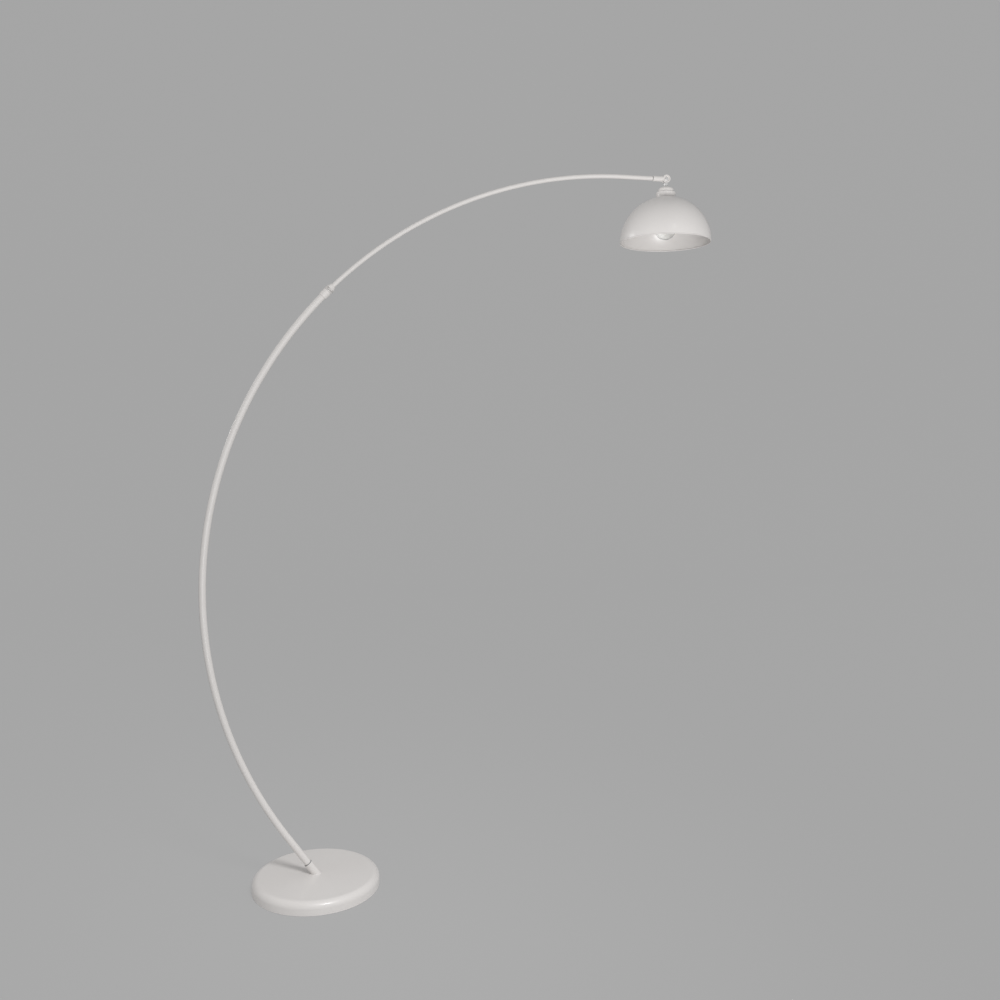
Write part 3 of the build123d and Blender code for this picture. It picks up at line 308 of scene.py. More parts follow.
def add_rings(mesh, profile, place, turns, shape=None):
    """Adds a closed surface of rings to a bmesh; a shape function may change the radius round each ring."""
    rings = []
    for height, radius in profile:
        centre, across, side = place(height)
        if radius < MM / 1000:
            rings.append([mesh.verts.new(centre)])
            continue
        ring = []
        for turn in range(turns):
            angle = 2 * pi * turn / turns
            reach = shape(height, radius, angle) if shape else radius
            ring.append(mesh.verts.new(centre + across * reach * cos(angle) + side * reach * sin(angle)))
        rings.append(ring)
    for lower, upper in zip(rings, rings[1:] + rings[:1]):
        for turn in range(max(len(lower), len(upper)) if len(lower) + len(upper) > 2 else 0):
            after = (turn + 1) % max(len(lower), len(upper))
            corners = [lower[turn % len(lower)], lower[after % len(lower)]]
            corners += [upper[after % len(upper)], upper[turn % len(upper)]]
            mesh.faces.new(list(dict.fromkeys(corners)))


def new_object(name, mesh):
    """Object from a bmesh, with outward normals, smooth faces and sharp edges."""
    bmesh.ops.recalc_face_normals(mesh, faces=mesh.faces)
    data = bpy.data.meshes.new(name)
    mesh.to_mesh(data)
    mesh.free()
    data.shade_smooth()
    data.set_sharp_from_angle(angle=SHARP_ANGLE)
    result = bpy.data.objects.new(name, data)
    bpy.context.scene.collection.objects.link(result)
    return result


def turned(name, profile, place, turns=TURNS, shape=None):
    """Object turned from one closed profile."""
    mesh = bmesh.new()
    add_rings(mesh, profile, place, turns, shape)
    return new_object(name, mesh)


def block(name, lowest, highest):
    """Box between two corners, used to cut or to join."""
    mesh = bmesh.new()
    bmesh.ops.create_cube(mesh, size=1)
    for vert in mesh.verts:
        for axis in range(3):
            vert.co[axis] = highest[axis] if vert.co[axis] > 0 else lowest[axis]
    return new_object(name, mesh)


def combine(body, tool, operation):
    """Joins a tool object to a body or cuts it away, and drops the tool."""
    modifier = body.modifiers.new(operation, "BOOLEAN")
    modifier.operation = operation
    modifier.object = tool
    modifier.solver = "EXACT"
    bpy.context.view_layer.update()
    evaluated = body.evaluated_get(bpy.context.evaluated_depsgraph_get())
    data = bpy.data.meshes.new_from_object(evaluated)
    body.modifiers.clear()
    body.data = data
    bpy.data.objects.remove(tool)
    data.shade_smooth()
    data.set_sharp_from_angle(angle=SHARP_ANGLE)
    return body


def dress(piece, node, material):
    """A fine mesh takes the place of its CAD node: the node is hidden, the mesh rides with the node's body and
    takes the given finish.
    """
    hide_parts(node)
    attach(piece, BODY_OF[node])
    piece.data.materials.clear()
    piece.data.materials.append(material)
    return piece


def fine(node):
    """Name of the mesh that stands for a node."""
    return node + "_fine"


def hexagon(flats, bottom, top):
    """Shape of a hexagon nut whose corners are turned off at both ends."""

    def shape(height, radius, angle):
        turn = (angle + pi / 6) % (pi / 3) - pi / 6
        corner = flats / 2 / cos(turn)
        depth = min(height - bottom, top - height)
        return radius if radius < flats / 2 else min(corner, flats / 2 + NUT_CORNER + depth)

    return shape


def thread(pitch, depth, bottom, top):
    """Shape of a rounded thread between two heights, fading out at both ends."""

    def shape(height, radius, angle):
        fade = max(0, min(1, (height - bottom) / pitch, (top - height) / pitch))
        wave = 0.5 - 0.5 * cos(2 * pi * height / pitch - angle)
        return radius - depth * wave * fade

    return shape


def noise_node(tree, vector, size, detail):
    """Noise whose features are about a given size."""
    node = tree.nodes.new("ShaderNodeTexNoise")
    node.inputs["Scale"].default_value = 1 / size
    node.inputs["Detail"].default_value = detail
    tree.links.new(vector, node.inputs["Vector"])
    return node


def finish_material(name, tones, roughness, tone_size, bump_size, bump_depth, stretch=(1, 1, 1), **sockets):
    """Procedural finish: two tones and a roughness range mixed by noise, a fine bump, plain shader values."""
    material = bpy.data.materials.new(name)
    material.use_nodes = True
    tree = material.node_tree
    shader = tree.nodes["Principled BSDF"]
    for socket, value in sockets.items():
        shader.inputs[socket.replace("_", " ")].default_value = value
    place = tree.nodes.new("ShaderNodeTexCoord")
    mapping = tree.nodes.new("ShaderNodeMapping")
    mapping.inputs["Scale"].default_value = stretch
    tree.links.new(place.outputs["Object"], mapping.inputs["Vector"])
    tone = noise_node(tree, mapping.outputs["Vector"], tone_size, TONE_DETAIL)
    ramp = tree.nodes.new("ShaderNodeValToRGB")
    ramp.color_ramp.elements[0].position = 0.3
    ramp.color_ramp.elements[1].position = 0.7
    for element, colour in zip(ramp.color_ramp.elements, tones):
        element.color = (*colour, 1)
    tree.links.new(tone.outputs["Fac"], ramp.inputs["Fac"])
    tree.links.new(ramp.outputs["Color"], shader.inputs["Base Color"])
    spread = tree.nodes.new("ShaderNodeMapRange")
    spread.inputs["From Min"].default_value = 0.3
    spread.inputs["From Max"].default_value = 0.7
    spread.inputs["To Min"].default_value = roughness[0]
    spread.inputs["To Max"].default_value = roughness[1]
    tree.links.new(tone.outputs["Fac"], spread.inputs["Value"])
    tree.links.new(spread.outputs["Result"], shader.inputs["Roughness"])
    if bump_depth:
        grain = noise_node(tree, mapping.outputs["Vector"], bump_size, BUMP_DETAIL)
        bump = tree.nodes.new("ShaderNodeBump")
        bump.inputs["Distance"].default_value = bump_depth
        tree.links.new(grain.outputs["Fac"], bump.inputs["Height"])
        tree.links.new(bump.outputs["Normal"], shader.inputs["Normal"])
    return material


# Finishes, one for each slot of the record
FINISHES = {
    "white_paint": finish_material(
        "white_paint", ((0.735, 0.708, 0.690), (0.755, 0.730, 0.713)), (0.34, 0.40),
        180 * MM, 1.1 * MM, 0.010 * MM, Coat_Weight=0.2, Coat_Roughness=0.1,
    ),
    "felt": finish_material(
        "felt", ((0.018, 0.018, 0.019), (0.045, 0.045, 0.047)), (0.92, 1.0),
        1.5 * MM, 0.5 * MM, 0.4 * MM, Sheen_Weight=0.5, Sheen_Roughness=0.6,
    ),
    "ballast": finish_material(
        "ballast", ((0.22, 0.215, 0.20), (0.38, 0.37, 0.35)), (0.85, 0.95), 9 * MM, 1.5 * MM, 0.6 * MM
    ),
    "zinc_steel": finish_material(
        "zinc_steel", ((0.50, 0.51, 0.53), (0.62, 0.62, 0.62)), (0.28, 0.42),
        6 * MM, 0.6 * MM, 0.02 * MM, Metallic=1.0,
    ),
    "nickel": finish_material(
        "nickel", ((0.72, 0.715, 0.71), (0.78, 0.775, 0.77)), (0.32, 0.40),
        5 * MM, 0.35 * MM, 0.004 * MM, stretch=(1, 6, 1), Metallic=0.55,
    ),
    "rubber": finish_material(
        "rubber", ((0.42, 0.41, 0.40), (0.50, 0.49, 0.48)), (0.55, 0.7), 5 * MM, 0.4 * MM, 0.05 * MM
    ),
    # The rings' dark tone is painted shadow of the seams at the socket's rim and the arm's end
    "dark_rubber": finish_material(
        "dark_rubber", ((0.20, 0.20, 0.20), (0.26, 0.26, 0.26)), (0.6, 0.75), 3 * MM, 0.4 * MM, 0.04 * MM
    ),
    "lead_sheath": finish_material(
        "lead_sheath", ((0.66, 0.66, 0.65), (0.74, 0.74, 0.73)), (0.4, 0.5), 20 * MM, 0.8 * MM, 0.03 * MM
    ),
    "guide_plastic": finish_material(
        "guide_plastic", ((0.68, 0.67, 0.63), (0.76, 0.75, 0.71)), (0.4, 0.5), 8 * MM, 0.5 * MM, 0.02 * MM
    ),
    "holder_plastic": finish_material(
        "holder_plastic", ((0.68, 0.665, 0.645), (0.74, 0.725, 0.705)), (0.34, 0.44),
        12 * MM, 0.5 * MM, 0.02 * MM,
    ),
    "ceramic": finish_material(
        "ceramic", ((0.72, 0.71, 0.67), (0.80, 0.79, 0.75)), (0.3, 0.45), 6 * MM, 0.4 * MM, 0.02 * MM
    ),
    "brass": finish_material(
        "brass", ((0.62, 0.42, 0.14), (0.74, 0.54, 0.22)), (0.24, 0.38),
        4 * MM, 0.4 * MM, 0.01 * MM, Metallic=1.0,
    ),
    "cap_metal": finish_material(
        "cap_metal", ((0.66, 0.66, 0.66), (0.78, 0.78, 0.78)), (0.22, 0.34),
        4 * MM, 0.4 * MM, 0.01 * MM, Metallic=1.0,
    ),
    "black_glass": finish_material(
        "black_glass", ((0.008, 0.008, 0.010), (0.02, 0.02, 0.024)), (0.1, 0.2), 4 * MM, 0.5 * MM, 0.01 * MM
    ),
    "clear_glass": finish_material(
        "clear_glass", ((0.965, 0.975, 0.97), (0.99, 0.995, 0.99)), (0.0, 0.015),
        40 * MM, 1 * MM, 0, Transmission_Weight=1.0, IOR=1.47,
    ),
    "filament": finish_material(
        "filament", ((0.72, 0.43, 0.06), (0.84, 0.56, 0.12)), (0.4, 0.55), 2 * MM, 0.3 * MM, 0.05 * MM
    ),
}


def finish_of(node):
    """Finish of a CAD node's slot."""
    return FINISHES[SLOT_OF[node]]


def turn_node(node, profile, place, turns=TURNS, shape=None):
    """Turned mesh that stands for a CAD node."""
    return dress(turned(fine(node), profile, place, turns, shape), node, finish_of(node))


def bend_points(start, end, radius):
    """Outline points along the bent tubes, close enough together to show no corners."""
    count = max(1, round(abs(end - start) / BEND_STEP))
    return [(start + (end - start) * step / count, radius) for step in range(count + 1)]


def tube_profile(foot, tip, radius, wall):
    """Outline of a bent tube with softened ends."""
    inner = radius - wall
    edge = TUBE_EDGE
    points = bend_points(foot + edge, tip - edge, radius)
    points += [(tip, radius - edge), (tip, inner + edge)]
    points += bend_points(tip - edge, foot + edge, inner)
    points += [(foot, inner + edge), (foot, radius - edge)]
    return points


# Base
BASE_PLACE = straight(Vector((0, 0, 0)), Z, X)


def make_felt_pad():
    """Felt disc with a soft, slightly uneven edge."""
    bottom, top = low("felt_pad").z, high("felt_pad").z
    reach = radius_of("felt_pad")

    def uneven(height, radius, angle):
        wave = sum(1 + sin(count * angle + phase) for phase, count in enumerate(PAD_WAVES))
        return radius - (radius / reach) ** PAD_WAVE_REACH * PAD_WAVE * wave / 2

    corners = outline((bottom, 0, 0), (bottom, reach, PAD_EDGE), (top, reach, PAD_EDGE), (top, 0, 0))
    turn_node("felt_pad", corners, BASE_PLACE, shape=uneven)


def make_base_cover():
    """Spun cover with a large rounded edge, a softened hem and holes for the socket and the grommet."""
    bottom, top = low("base_cover").z, BASE_TOP
    reach = radius_of("base_cover")
    inner_edge = COVER_EDGE - COVER_WALL
    profile = outline(
        (bottom, reach, COVER_HEM),
        (top, reach, COVER_EDGE),
        (top, SPIGOT_HOLE_RADIUS, 0),
        (top - COVER_WALL, SPIGOT_HOLE_RADIUS, 0),
        (top - COVER_WALL, reach - COVER_WALL, inner_edge),
        (bottom, reach - COVER_WALL, COVER_HEM),
        steps=FINE_EDGE_STEPS,
    )
    cover = turned(fine("base_cover"), profile, BASE_PLACE, 2 * TURNS)
    inlet = outline(
        (reach - 6 * COVER_WALL, 0, 0), (reach - 6 * COVER_WALL, GROMMET_NECK_RADIUS, 0),
        (reach + COVER_WALL, GROMMET_NECK_RADIUS, 0), (reach + COVER_WALL, 0, 0),
    )
    combine(cover, turned("inlet_hole", inlet, grommet_place(), SMALL_TURNS), "DIFFERENCE")
    dress(cover, "base_cover", finish_of("base_cover"))


def grommet_place():
    """Axis of the cord inlet, out of the back of the base."""
    lowest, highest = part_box("cord_grommet")
    return straight(Vector(((lowest.x + highest.x) / 2, 0, (lowest.z + highest.z) / 2)), Y, X)


def make_grommet():
    """Grommet with rounded lips on both sides of the cover's wall."""
    inside, outside = low("cord_grommet").y, high("cord_grommet").y
    lip = (high("cord_grommet").x - low("cord_grommet").x) / 2
    profile = outline(
        (inside, GROMMET_BORE_RADIUS, GROMMET_ROUND),
        (inside, lip, GROMMET_ROUND),
        (inside + GROMMET_LIP, lip, 0),
        (inside + GROMMET_LIP, GROMMET_NECK_RADIUS, 0),
        (outside - GROMMET_LIP, GROMMET_NECK_RADIUS, 0),
        (outside - GROMMET_LIP, lip, 0),
        (outside, lip, GROMMET_ROUND),
        (outside, GROMMET_BORE_RADIUS, GROMMET_ROUND),
    )
    turn_node("cord_grommet", profile, grommet_place(), SMALL_TURNS)


def make_socket():
    """Socket that meets the base's top at a slant with a small weld fillet, and its spigot below."""
    reach = radius_of("pole_socket")
    bore = radius_of("lower_pole") + SOCKET_RIM / 2
    rows = []
    for step in range(EDGE_STEPS + 1):
        slope = pi / 2 * step / EDGE_STEPS
        rows.append((WELD_FILLET * (1 - cos(slope)), reach + WELD_FILLET * (1 - sin(slope))))
    mesh = bmesh.new()
    rings = []
    angles = [2 * pi * turn / TURNS for turn in range(TURNS)]
    for lift, radius in rows:
        ring = []
        for angle in angles:
            run = (lift - radius * cos(angle) * FOOT_OUTWARD.z) / FOOT_HEADING.z
            ring.append(mesh.verts.new(round_tube(run, radius, angle)))
        rings.append(ring)
    top = outline(
        (SOCKET_LENGTH - 4 * SOCKET_RIM, reach, 0),
        (SOCKET_LENGTH, reach, SOCKET_RIM),
        (SOCKET_LENGTH, bore, SOCKET_RIM),
        (POLE_FOOT, bore, 0),
        (POLE_FOOT, SPIGOT_BORE_RADIUS, 0),
        (0, SPIGOT_BORE_RADIUS, 0),
    )
    for run, radius in top:
        rings.append([mesh.verts.new(round_tube(run, radius, angle)) for angle in angles])
    for lower, upper in zip(rings, rings[1:] + rings[:1]):
        for turn in range(TURNS):
            after = (turn + 1) % TURNS
            mesh.faces.new((lower[turn], lower[after], upper[after], upper[turn]))
    spigot = outline(
        (low("pole_socket").z, SPIGOT_BORE_RADIUS, 0), (low("pole_socket").z, SPIGOT_RADIUS, 2 * SOCKET_RIM),
        (BASE_TOP, SPIGOT_RADIUS, 0), (BASE_TOP, SPIGOT_BORE_RADIUS, 0),
    )
    add_rings(mesh, spigot, BASE_PLACE, SMALL_TURNS)
    socket = new_object(fine("pole_socket"), mesh)
    lowest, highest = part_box("pole_set_screw")
    screw = straight(Vector(((lowest.x + highest.x) / 2, 0, (lowest.z + highest.z) / 2)), Y, X)
    hole = outline(
        (bore - MM, 0, 0),
        (bore - MM, SCREW_HOLE_RADIUS, 0),
        (2 * reach, SCREW_HOLE_RADIUS, 0),
        (2 * reach, 0, 0),
    )
    combine(socket, turned("screw_hole", hole, screw, SMALL_TURNS), "DIFFERENCE")
    dress(socket, "pole_socket", finish_of("pole_socket"))


def make_seals_with_painted_shadow():
    """Sealing rings on the socket's rim and at the arm's end, made dark as painted shadow of the seams there."""
    reach = radius_of("socket_seal")
    bore = radius_of("lower_pole")
    top = SOCKET_LENGTH + SOCKET_SEAL_HEIGHT
    profile = outline(
        (SOCKET_LENGTH, bore, 0), (SOCKET_LENGTH, reach, 0), (top, reach, SEAL_EDGE), (top, bore, 0)
    )
    turn_node("socket_seal", profile, along_tubes, SMALL_TURNS)
    reach = radius_of("arm_seal")
    bore = reach - ARM_WALL
    profile = outline(
        (0, bore, 0),
        (0, reach, SEAL_EDGE / 2),
        (ARM_SEAL_WIDTH, reach, SEAL_EDGE / 2),
        (ARM_SEAL_WIDTH, bore, 0),
    )
    turn_node("arm_seal", profile, TIP_PLACE, SMALL_TURNS)


def make_tubes():
    """Lower pole and upper arm as smooth bent tubes."""
    pole = tube_profile(POLE_FOOT, POLE_TOP, radius_of("lower_pole"), POLE_WALL)
    turn_node("lower_pole", pole, along_tubes, SMALL_TURNS)
    arm = tube_profile(ARM_FOOT, ARM_TIP, radius_of("upper_arm"), ARM_WALL)
    turn_node("upper_arm", arm, along_tubes, SMALL_TURNS)


def make_collar():
    """Collar on the pole's end, with its spigot in the pole and its nose in the lock nut."""
    reach = radius_of("pole_collar")
    spigot = radius_of("lower_pole") - POLE_WALL - PIVOT_CLEARANCE
    foot = POLE_TOP - COLLAR_SPIGOT_LENGTH
    nose = COLLAR_TOP + COLLAR_NOSE_LENGTH
    profile = outline(
        (foot, COLLAR_BORE_RADIUS, 0),
        (foot, spigot, 0),
        (POLE_TOP, spigot, 0),
        (POLE_TOP, reach, COLLAR_EDGE),
        (COLLAR_TOP, reach, COLLAR_EDGE),
        (COLLAR_TOP, COLLAR_NOSE_RADIUS, 0),
        (nose, COLLAR_NOSE_RADIUS, TUBE_EDGE),
        (nose, COLLAR_BORE_RADIUS, 0),
    )
    turn_node("pole_collar", profile, along_tubes, TURNS)


def make_lock_nut():
    """Fluted nut with a tapering nose."""
    reach = radius_of("lock_nut")
    place = straight(NUT_SEAT, NUT_AXIS, Y.cross(NUT_AXIS))
    profile = outline(
        (NUT_GAP, NUT_CHAMBER_RADIUS, 0),
        (NUT_GAP, reach, NUT_EDGE),
        (NUT_GRIP, reach, NUT_EDGE),
        (NUT_LENGTH, NUT_TIP_RADIUS, NUT_EDGE / 2),
        (NUT_LENGTH, NUT_BORE_RADIUS, 0),
        (NUT_LENGTH - NUT_LIP, NUT_BORE_RADIUS, 0),
        (NUT_LENGTH - NUT_LIP, COLLAR_NOSE_RADIUS - MM, 0),
        (COLLAR_NOSE_LENGTH, NUT_CHAMBER_RADIUS, 0),
    )
    # More rings on the grip, so that the flutes run out softly
    first = max(k for k, (height, radius) in enumerate(profile) if radius == max(r for _, r in profile[:9]))
    grip_run = (NUT_GRIP - NUT_GAP - 2 * NUT_EDGE) / GRIP_STEPS
    grip = [(NUT_GAP + NUT_EDGE + grip_run * step, reach) for step in range(1, GRIP_STEPS)]
    profile[first + 1:first + 1] = grip

    def fluted(height, radius, angle):
        fade = max(0, min(1, (height - NUT_GAP) / FLUTE_RUNOUT, (NUT_GRIP - height) / FLUTE_RUNOUT))
        wave = max(0, cos(FLUTES * angle)) ** FLUTE_SHARPNESS
        return radius - (FLUTE_DEPTH * wave * fade if radius > NUT_CHAMBER_RADIUS + MM else 0)

    turn_node("lock_nut", profile, place, FLUTE_TURNS * FLUTES, fluted)


# Knuckle
TIP_PLACE = straight(KNUCKLE - X * FITTING_LENGTH, X, Z)
PIVOT_PLACE = straight(KNUCKLE, -Y, X)
HEAD_PLACE = straight(KNUCKLE, Z, X)


def head_height(z):
    """Height in the head, counted from the knuckle's middle."""
    return z - KNUCKLE.z


def make_fitting():
    """Fork on the arm's end: turned barrel and two recessed cheeks with a slot between them."""
    barrel = outline(
        (-FITTING_PLUG, FITTING_BORE_RADIUS, 0),
        (-FITTING_PLUG, FITTING_PLUG_RADIUS, FITTING_EDGE),
        (ARM_SEAL_WIDTH, FITTING_PLUG_RADIUS, 0),
        (ARM_SEAL_WIDTH, FITTING_RADIUS, FITTING_EDGE),
        (FITTING_LENGTH - RECESS_RADIUS, FITTING_RADIUS, 0),
        (FITTING_LENGTH - RECESS_RADIUS, FITTING_BORE_RADIUS, 0),
    )
    half = FORK_WIDTH / 2
    hole = PIVOT_RADIUS + PIVOT_CLEARANCE
    disc = outline(
        (-half, RECESS_RADIUS, CHEEK_EDGE / 2),
        (-half, CHEEK_RADIUS, CHEEK_EDGE),
        (half, CHEEK_RADIUS, CHEEK_EDGE),
        (half, RECESS_RADIUS, CHEEK_EDGE / 2),
        (half - RECESS_DEPTH, RECESS_RADIUS, CHEEK_EDGE / 2),
        (half - RECESS_DEPTH, hole, 0),
        (RECESS_DEPTH - half, hole, 0),
        (RECESS_DEPTH - half, RECESS_RADIUS, CHEEK_EDGE / 2),
    )
    fork = turned(fine("arm_fitting"), disc, PIVOT_PLACE, TURNS)
    combine(fork, turned("barrel", barrel, TIP_PLACE, SMALL_TURNS), "UNION")
    floor = half - RECESS_DEPTH
    middle = outline((-floor, 0, 0), (-floor, hole, 0), (floor, hole, 0), (floor, 0, 0))
    combine(fork, turned("pivot_hole", middle, PIVOT_PLACE, SMALL_TURNS), "DIFFERENCE")
    slot = Vector((FORK_ROOT, FORK_SLOT / 2, 2 * CHEEK_RADIUS))
    combine(fork, block("fork_slot", KNUCKLE - slot, KNUCKLE + slot + X * CHEEK_RADIUS), "DIFFERENCE")
    dress(fork, "arm_fitting", finish_of("arm_fitting"))


def make_pivot():
    """Slotted pivot screw and its nut."""
    floor = FORK_WIDTH / 2 - RECESS_DEPTH
    end = -floor - PIVOT_NUT_HEIGHT - PIVOT_PROUD
    profile = outline(
        (end, 0, 0),
        (end, PIVOT_RADIUS, NUT_CORNER),
        (floor, PIVOT_RADIUS, 0),
        (floor, PIVOT_HEAD_RADIUS, TUBE_EDGE),
        (floor + PIVOT_HEAD_HEIGHT, PIVOT_HEAD_RADIUS, PIVOT_HEAD_EDGE),
        (floor + PIVOT_HEAD_HEIGHT, 0, 0),
    )
    screw = turned(fine("knuckle_screw"), profile, PIVOT_PLACE, SMALL_TURNS)
    face = KNUCKLE - Y * (floor + PIVOT_HEAD_HEIGHT)
    cut = Vector((PIVOT_SLOT_WIDTH / 2, PIVOT_SLOT_DEPTH, PIVOT_HEAD_RADIUS + MM))
    combine(screw, block("screw_slot", face - cut, face + cut), "DIFFERENCE")
    dress(screw, "knuckle_screw", finish_of("knuckle_screw"))
    bottom, top = -floor - PIVOT_NUT_HEIGHT, -floor
    hole = PIVOT_RADIUS + PIVOT_CLEARANCE
    nut = nut_profile(bottom, top, PIVOT_NUT_FLATS, hole)
    turn_node("knuckle_nut", nut, PIVOT_PLACE, SMALL_TURNS, hexagon(PIVOT_NUT_FLATS, bottom, top))


def nut_profile(bottom, top, flats, hole):
    """Outline of a nut, with rings close to both ends where its corners are turned off."""
    corner = flats / sqrt(3)
    face = flats / 2 * NUT_FACE
    side = [(height, corner) for height in (bottom, bottom + NUT_CORNER, top - NUT_CORNER, top)]
    return [(bottom, hole), (bottom, face), *side, (top, face), (top, hole)]


def make_tongue():
    """Tongue of the head in the fork, with its neck and turned boss."""
    half = TONGUE_THICKNESS / 2
    hole = PIVOT_RADIUS + 2 * PIVOT_CLEARANCE
    disc = outline(
        (-half, hole, 0), (-half, TONGUE_RADIUS, TUBE_EDGE), (half, TONGUE_RADIUS, TUBE_EDGE), (half, hole, 0)
    )
    tongue = turned(fine("knuckle_tongue"), disc, PIVOT_PLACE, TURNS)
    bottom = head_height(low("knuckle_tongue").z)
    top = -CHEEK_RADIUS - BUSH_GAP
    reach = radius_of("knuckle_tongue")
    boss = outline(
        (bottom, 0, 0), (bottom, reach, BOSS_EDGE), (top, reach, BOSS_EDGE), (top, 0, 0)
    )
    neck_low = KNUCKLE + Vector((-TONGUE_NECK / 2, -half, top - BOSS_EDGE))
    neck_high = KNUCKLE + Vector((TONGUE_NECK / 2, half, -PIVOT_HEAD_RADIUS))
    combine(tongue, block("neck", neck_low, neck_high), "UNION")
    combine(tongue, turned("boss", boss, HEAD_PLACE, SMALL_TURNS), "UNION")
    dress(tongue, "knuckle_tongue", finish_of("knuckle_tongue"))


# Head
def make_nipple_nut():
    """Hexagon lock nut on the nipple."""
    bottom, top = (head_height(corner.z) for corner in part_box("nipple_lock_nut"))
    profile = nut_profile(bottom, top, NIPPLE_NUT_FLATS, NIPPLE_RADIUS + PIVOT_CLEARANCE)
    turn_node("nipple_lock_nut", profile, HEAD_PLACE, SMALL_TURNS, hexagon(NIPPLE_NUT_FLATS, bottom, top))


def make_cup():
    """Stepped cup over the lamp holder."""
    bottom, top = (head_height(corner.z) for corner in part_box("holder_cup"))
    reach = radius_of("holder_cup")
    step = top - CUP_DOME_HEIGHT
    profile = outline(
        (top, CUP_HOLE_RADIUS, 0),
        (top, CUP_DOME_RADIUS, CUP_DOME_EDGE),
        (step, CUP_DOME_RADIUS, CUP_EDGE / 2),
        (step, reach, CUP_EDGE),
        (bottom, reach, TUBE_EDGE),
        (bottom, reach - CUP_WALL, TUBE_EDGE),
        (step - CUP_WALL, reach - CUP_WALL, 0),
        (step - CUP_WALL, CUP_DOME_RADIUS - CUP_WALL, 0),
        (top - CUP_WALL, CUP_DOME_RADIUS - CUP_WALL, CUP_DOME_EDGE - CUP_WALL),
        (top - CUP_WALL, CUP_HOLE_RADIUS, 0),
        steps=CUP_STEPS,
    )
    turn_node("holder_cup", profile, HEAD_PLACE)


def make_shade():
    """Half-sphere shade with a flat top and a rolled rim."""
    rim, top = (head_height(corner.z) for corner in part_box("shade"))
    reach = radius_of("shade")
    inner = reach - SHADE_WALL
    top_angle = asin((top - rim) / reach)
    inner_angle = asin((top - SHADE_WALL - rim) / inner)
    bead = SHADE_BEAD_RADIUS
    bead_inside = asin(bead / inner) * 2
    profile = [(top, SHADE_HOLE_RADIUS)]
    profile += arc_points(rim, 0, reach, top_angle, 2 * bead / reach, SHADE_STEPS)
    profile += arc_points(rim + bead, reach - bead, bead, BEAD_START, BEAD_END, FINE_EDGE_STEPS)
    profile += arc_points(rim, 0, inner, bead_inside, inner_angle, SHADE_STEPS)
    profile += [(top - SHADE_WALL, SHADE_HOLE_RADIUS)]
    turn_node("shade", profile, HEAD_PLACE, 2 * TURNS)


def make_shade_ring():
    """Notched ring nut that holds the shade on the lamp holder."""
    bottom, top = (head_height(corner.z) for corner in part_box("shade_ring"))
    reach = radius_of("shade_ring")

    def notched(height, radius, angle):
        pitch = 2 * pi / RING_NOTCHES
        offset = ((angle + pitch / 2) % pitch - pitch / 2) * reach
        depth = sqrt(max(0, RING_NOTCH_RADIUS**2 - offset**2))
        return radius - (depth if radius > reach - RING_NOTCH_RADIUS else 0)

    profile = outline(
        (bottom, HOLDER_RADIUS + PIVOT_CLEARANCE, 0),
        (bottom, reach, HOLDER_EDGE),
        (top, reach, HOLDER_EDGE),
        (top, HOLDER_RADIUS + PIVOT_CLEARANCE, 0),
    )
    turn_node("shade_ring", profile, HEAD_PLACE, 4 * SMALL_TURNS, notched)


def make_holder():
    """Lamp holder with a threaded skirt below its flange."""
    bottom, top = (head_height(corner.z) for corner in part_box("holder_body"))
    flange = head_height(high("shade").z)
    insert_top = head_height(high("holder_insert").z)
    bore = HOLDER_RADIUS - HOLDER_WALL
    shoulder = top - HOLDER_NECK_HEIGHT
    skirt_top = flange - HOLDER_SKIRT_DROP
    skirt_run = (bottom + HOLDER_EDGE - skirt_top) / SKIRT_STEPS
    skirt = [(skirt_top + skirt_run * step, HOLDER_RADIUS) for step in range(SKIRT_STEPS + 1)]
    profile = outline(
        (top, NIPPLE_RADIUS + PIVOT_CLEARANCE, 0),
        (top, HOLDER_NECK_RADIUS, HOLDER_EDGE),
        (shoulder, HOLDER_NECK_RADIUS, 0),
        (shoulder - HOLDER_LEDGE, HOLDER_RADIUS, HOLDER_EDGE),
        (flange + HOLDER_FLANGE_THICKNESS, HOLDER_RADIUS, 0),
        (flange + HOLDER_FLANGE_THICKNESS, HOLDER_FLANGE_RADIUS, HOLDER_EDGE),
        (flange, HOLDER_FLANGE_RADIUS, 0),
        (flange, HOLDER_RADIUS, 0),
    )
    profile += skirt + [(bottom, HOLDER_RADIUS - HOLDER_EDGE)]
    profile += outline(
        (bottom, bore, 0),
        (insert_top, bore, 0),
        (insert_top, bore - HOLDER_LEDGE, 0),
        (insert_top + HOLDER_WIRING, bore - HOLDER_LEDGE, 0),
        (insert_top + HOLDER_WIRING, NIPPLE_RADIUS + PIVOT_CLEARANCE, 0),
    )
    rib = thread(HOLDER_PITCH, HOLDER_THREAD, bottom + HOLDER_EDGE, skirt_top)

    def skirted(height, radius, angle):
        return rib(height, radius, angle) if radius > HOLDER_RADIUS - MM / 100 else radius

    turn_node("holder_body", profile, HEAD_PLACE, TURNS, skirted)


def bulb_outline(inset):
    """Half section of the bulb's glass from its neck's end to its tip, drawn in by an inset."""
    tip, top = (head_height(corner.z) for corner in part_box("bulb_glass"))
    globe = radius_of("bulb_glass") - inset
    middle = tip + radius_of("bulb_glass")
    neck = GLASS_NECK_RADIUS - inset
    drop = top - GLASS_NECK_RUN - middle
    bend = (drop**2 - globe**2 + neck**2) / (2 * (globe - neck))
    meeting = atan2(drop, neck + bend)
    points = [(top - inset, 0), (top - inset, neck)]
    points += arc_points(middle + drop, neck + bend, bend, pi, pi + meeting, FINE_EDGE_STEPS)
    points += arc_points(middle, 0, globe, meeting, -pi / 2, GLOBE_STEPS)[1:-1]
    return points + [(middle - globe, 0)]


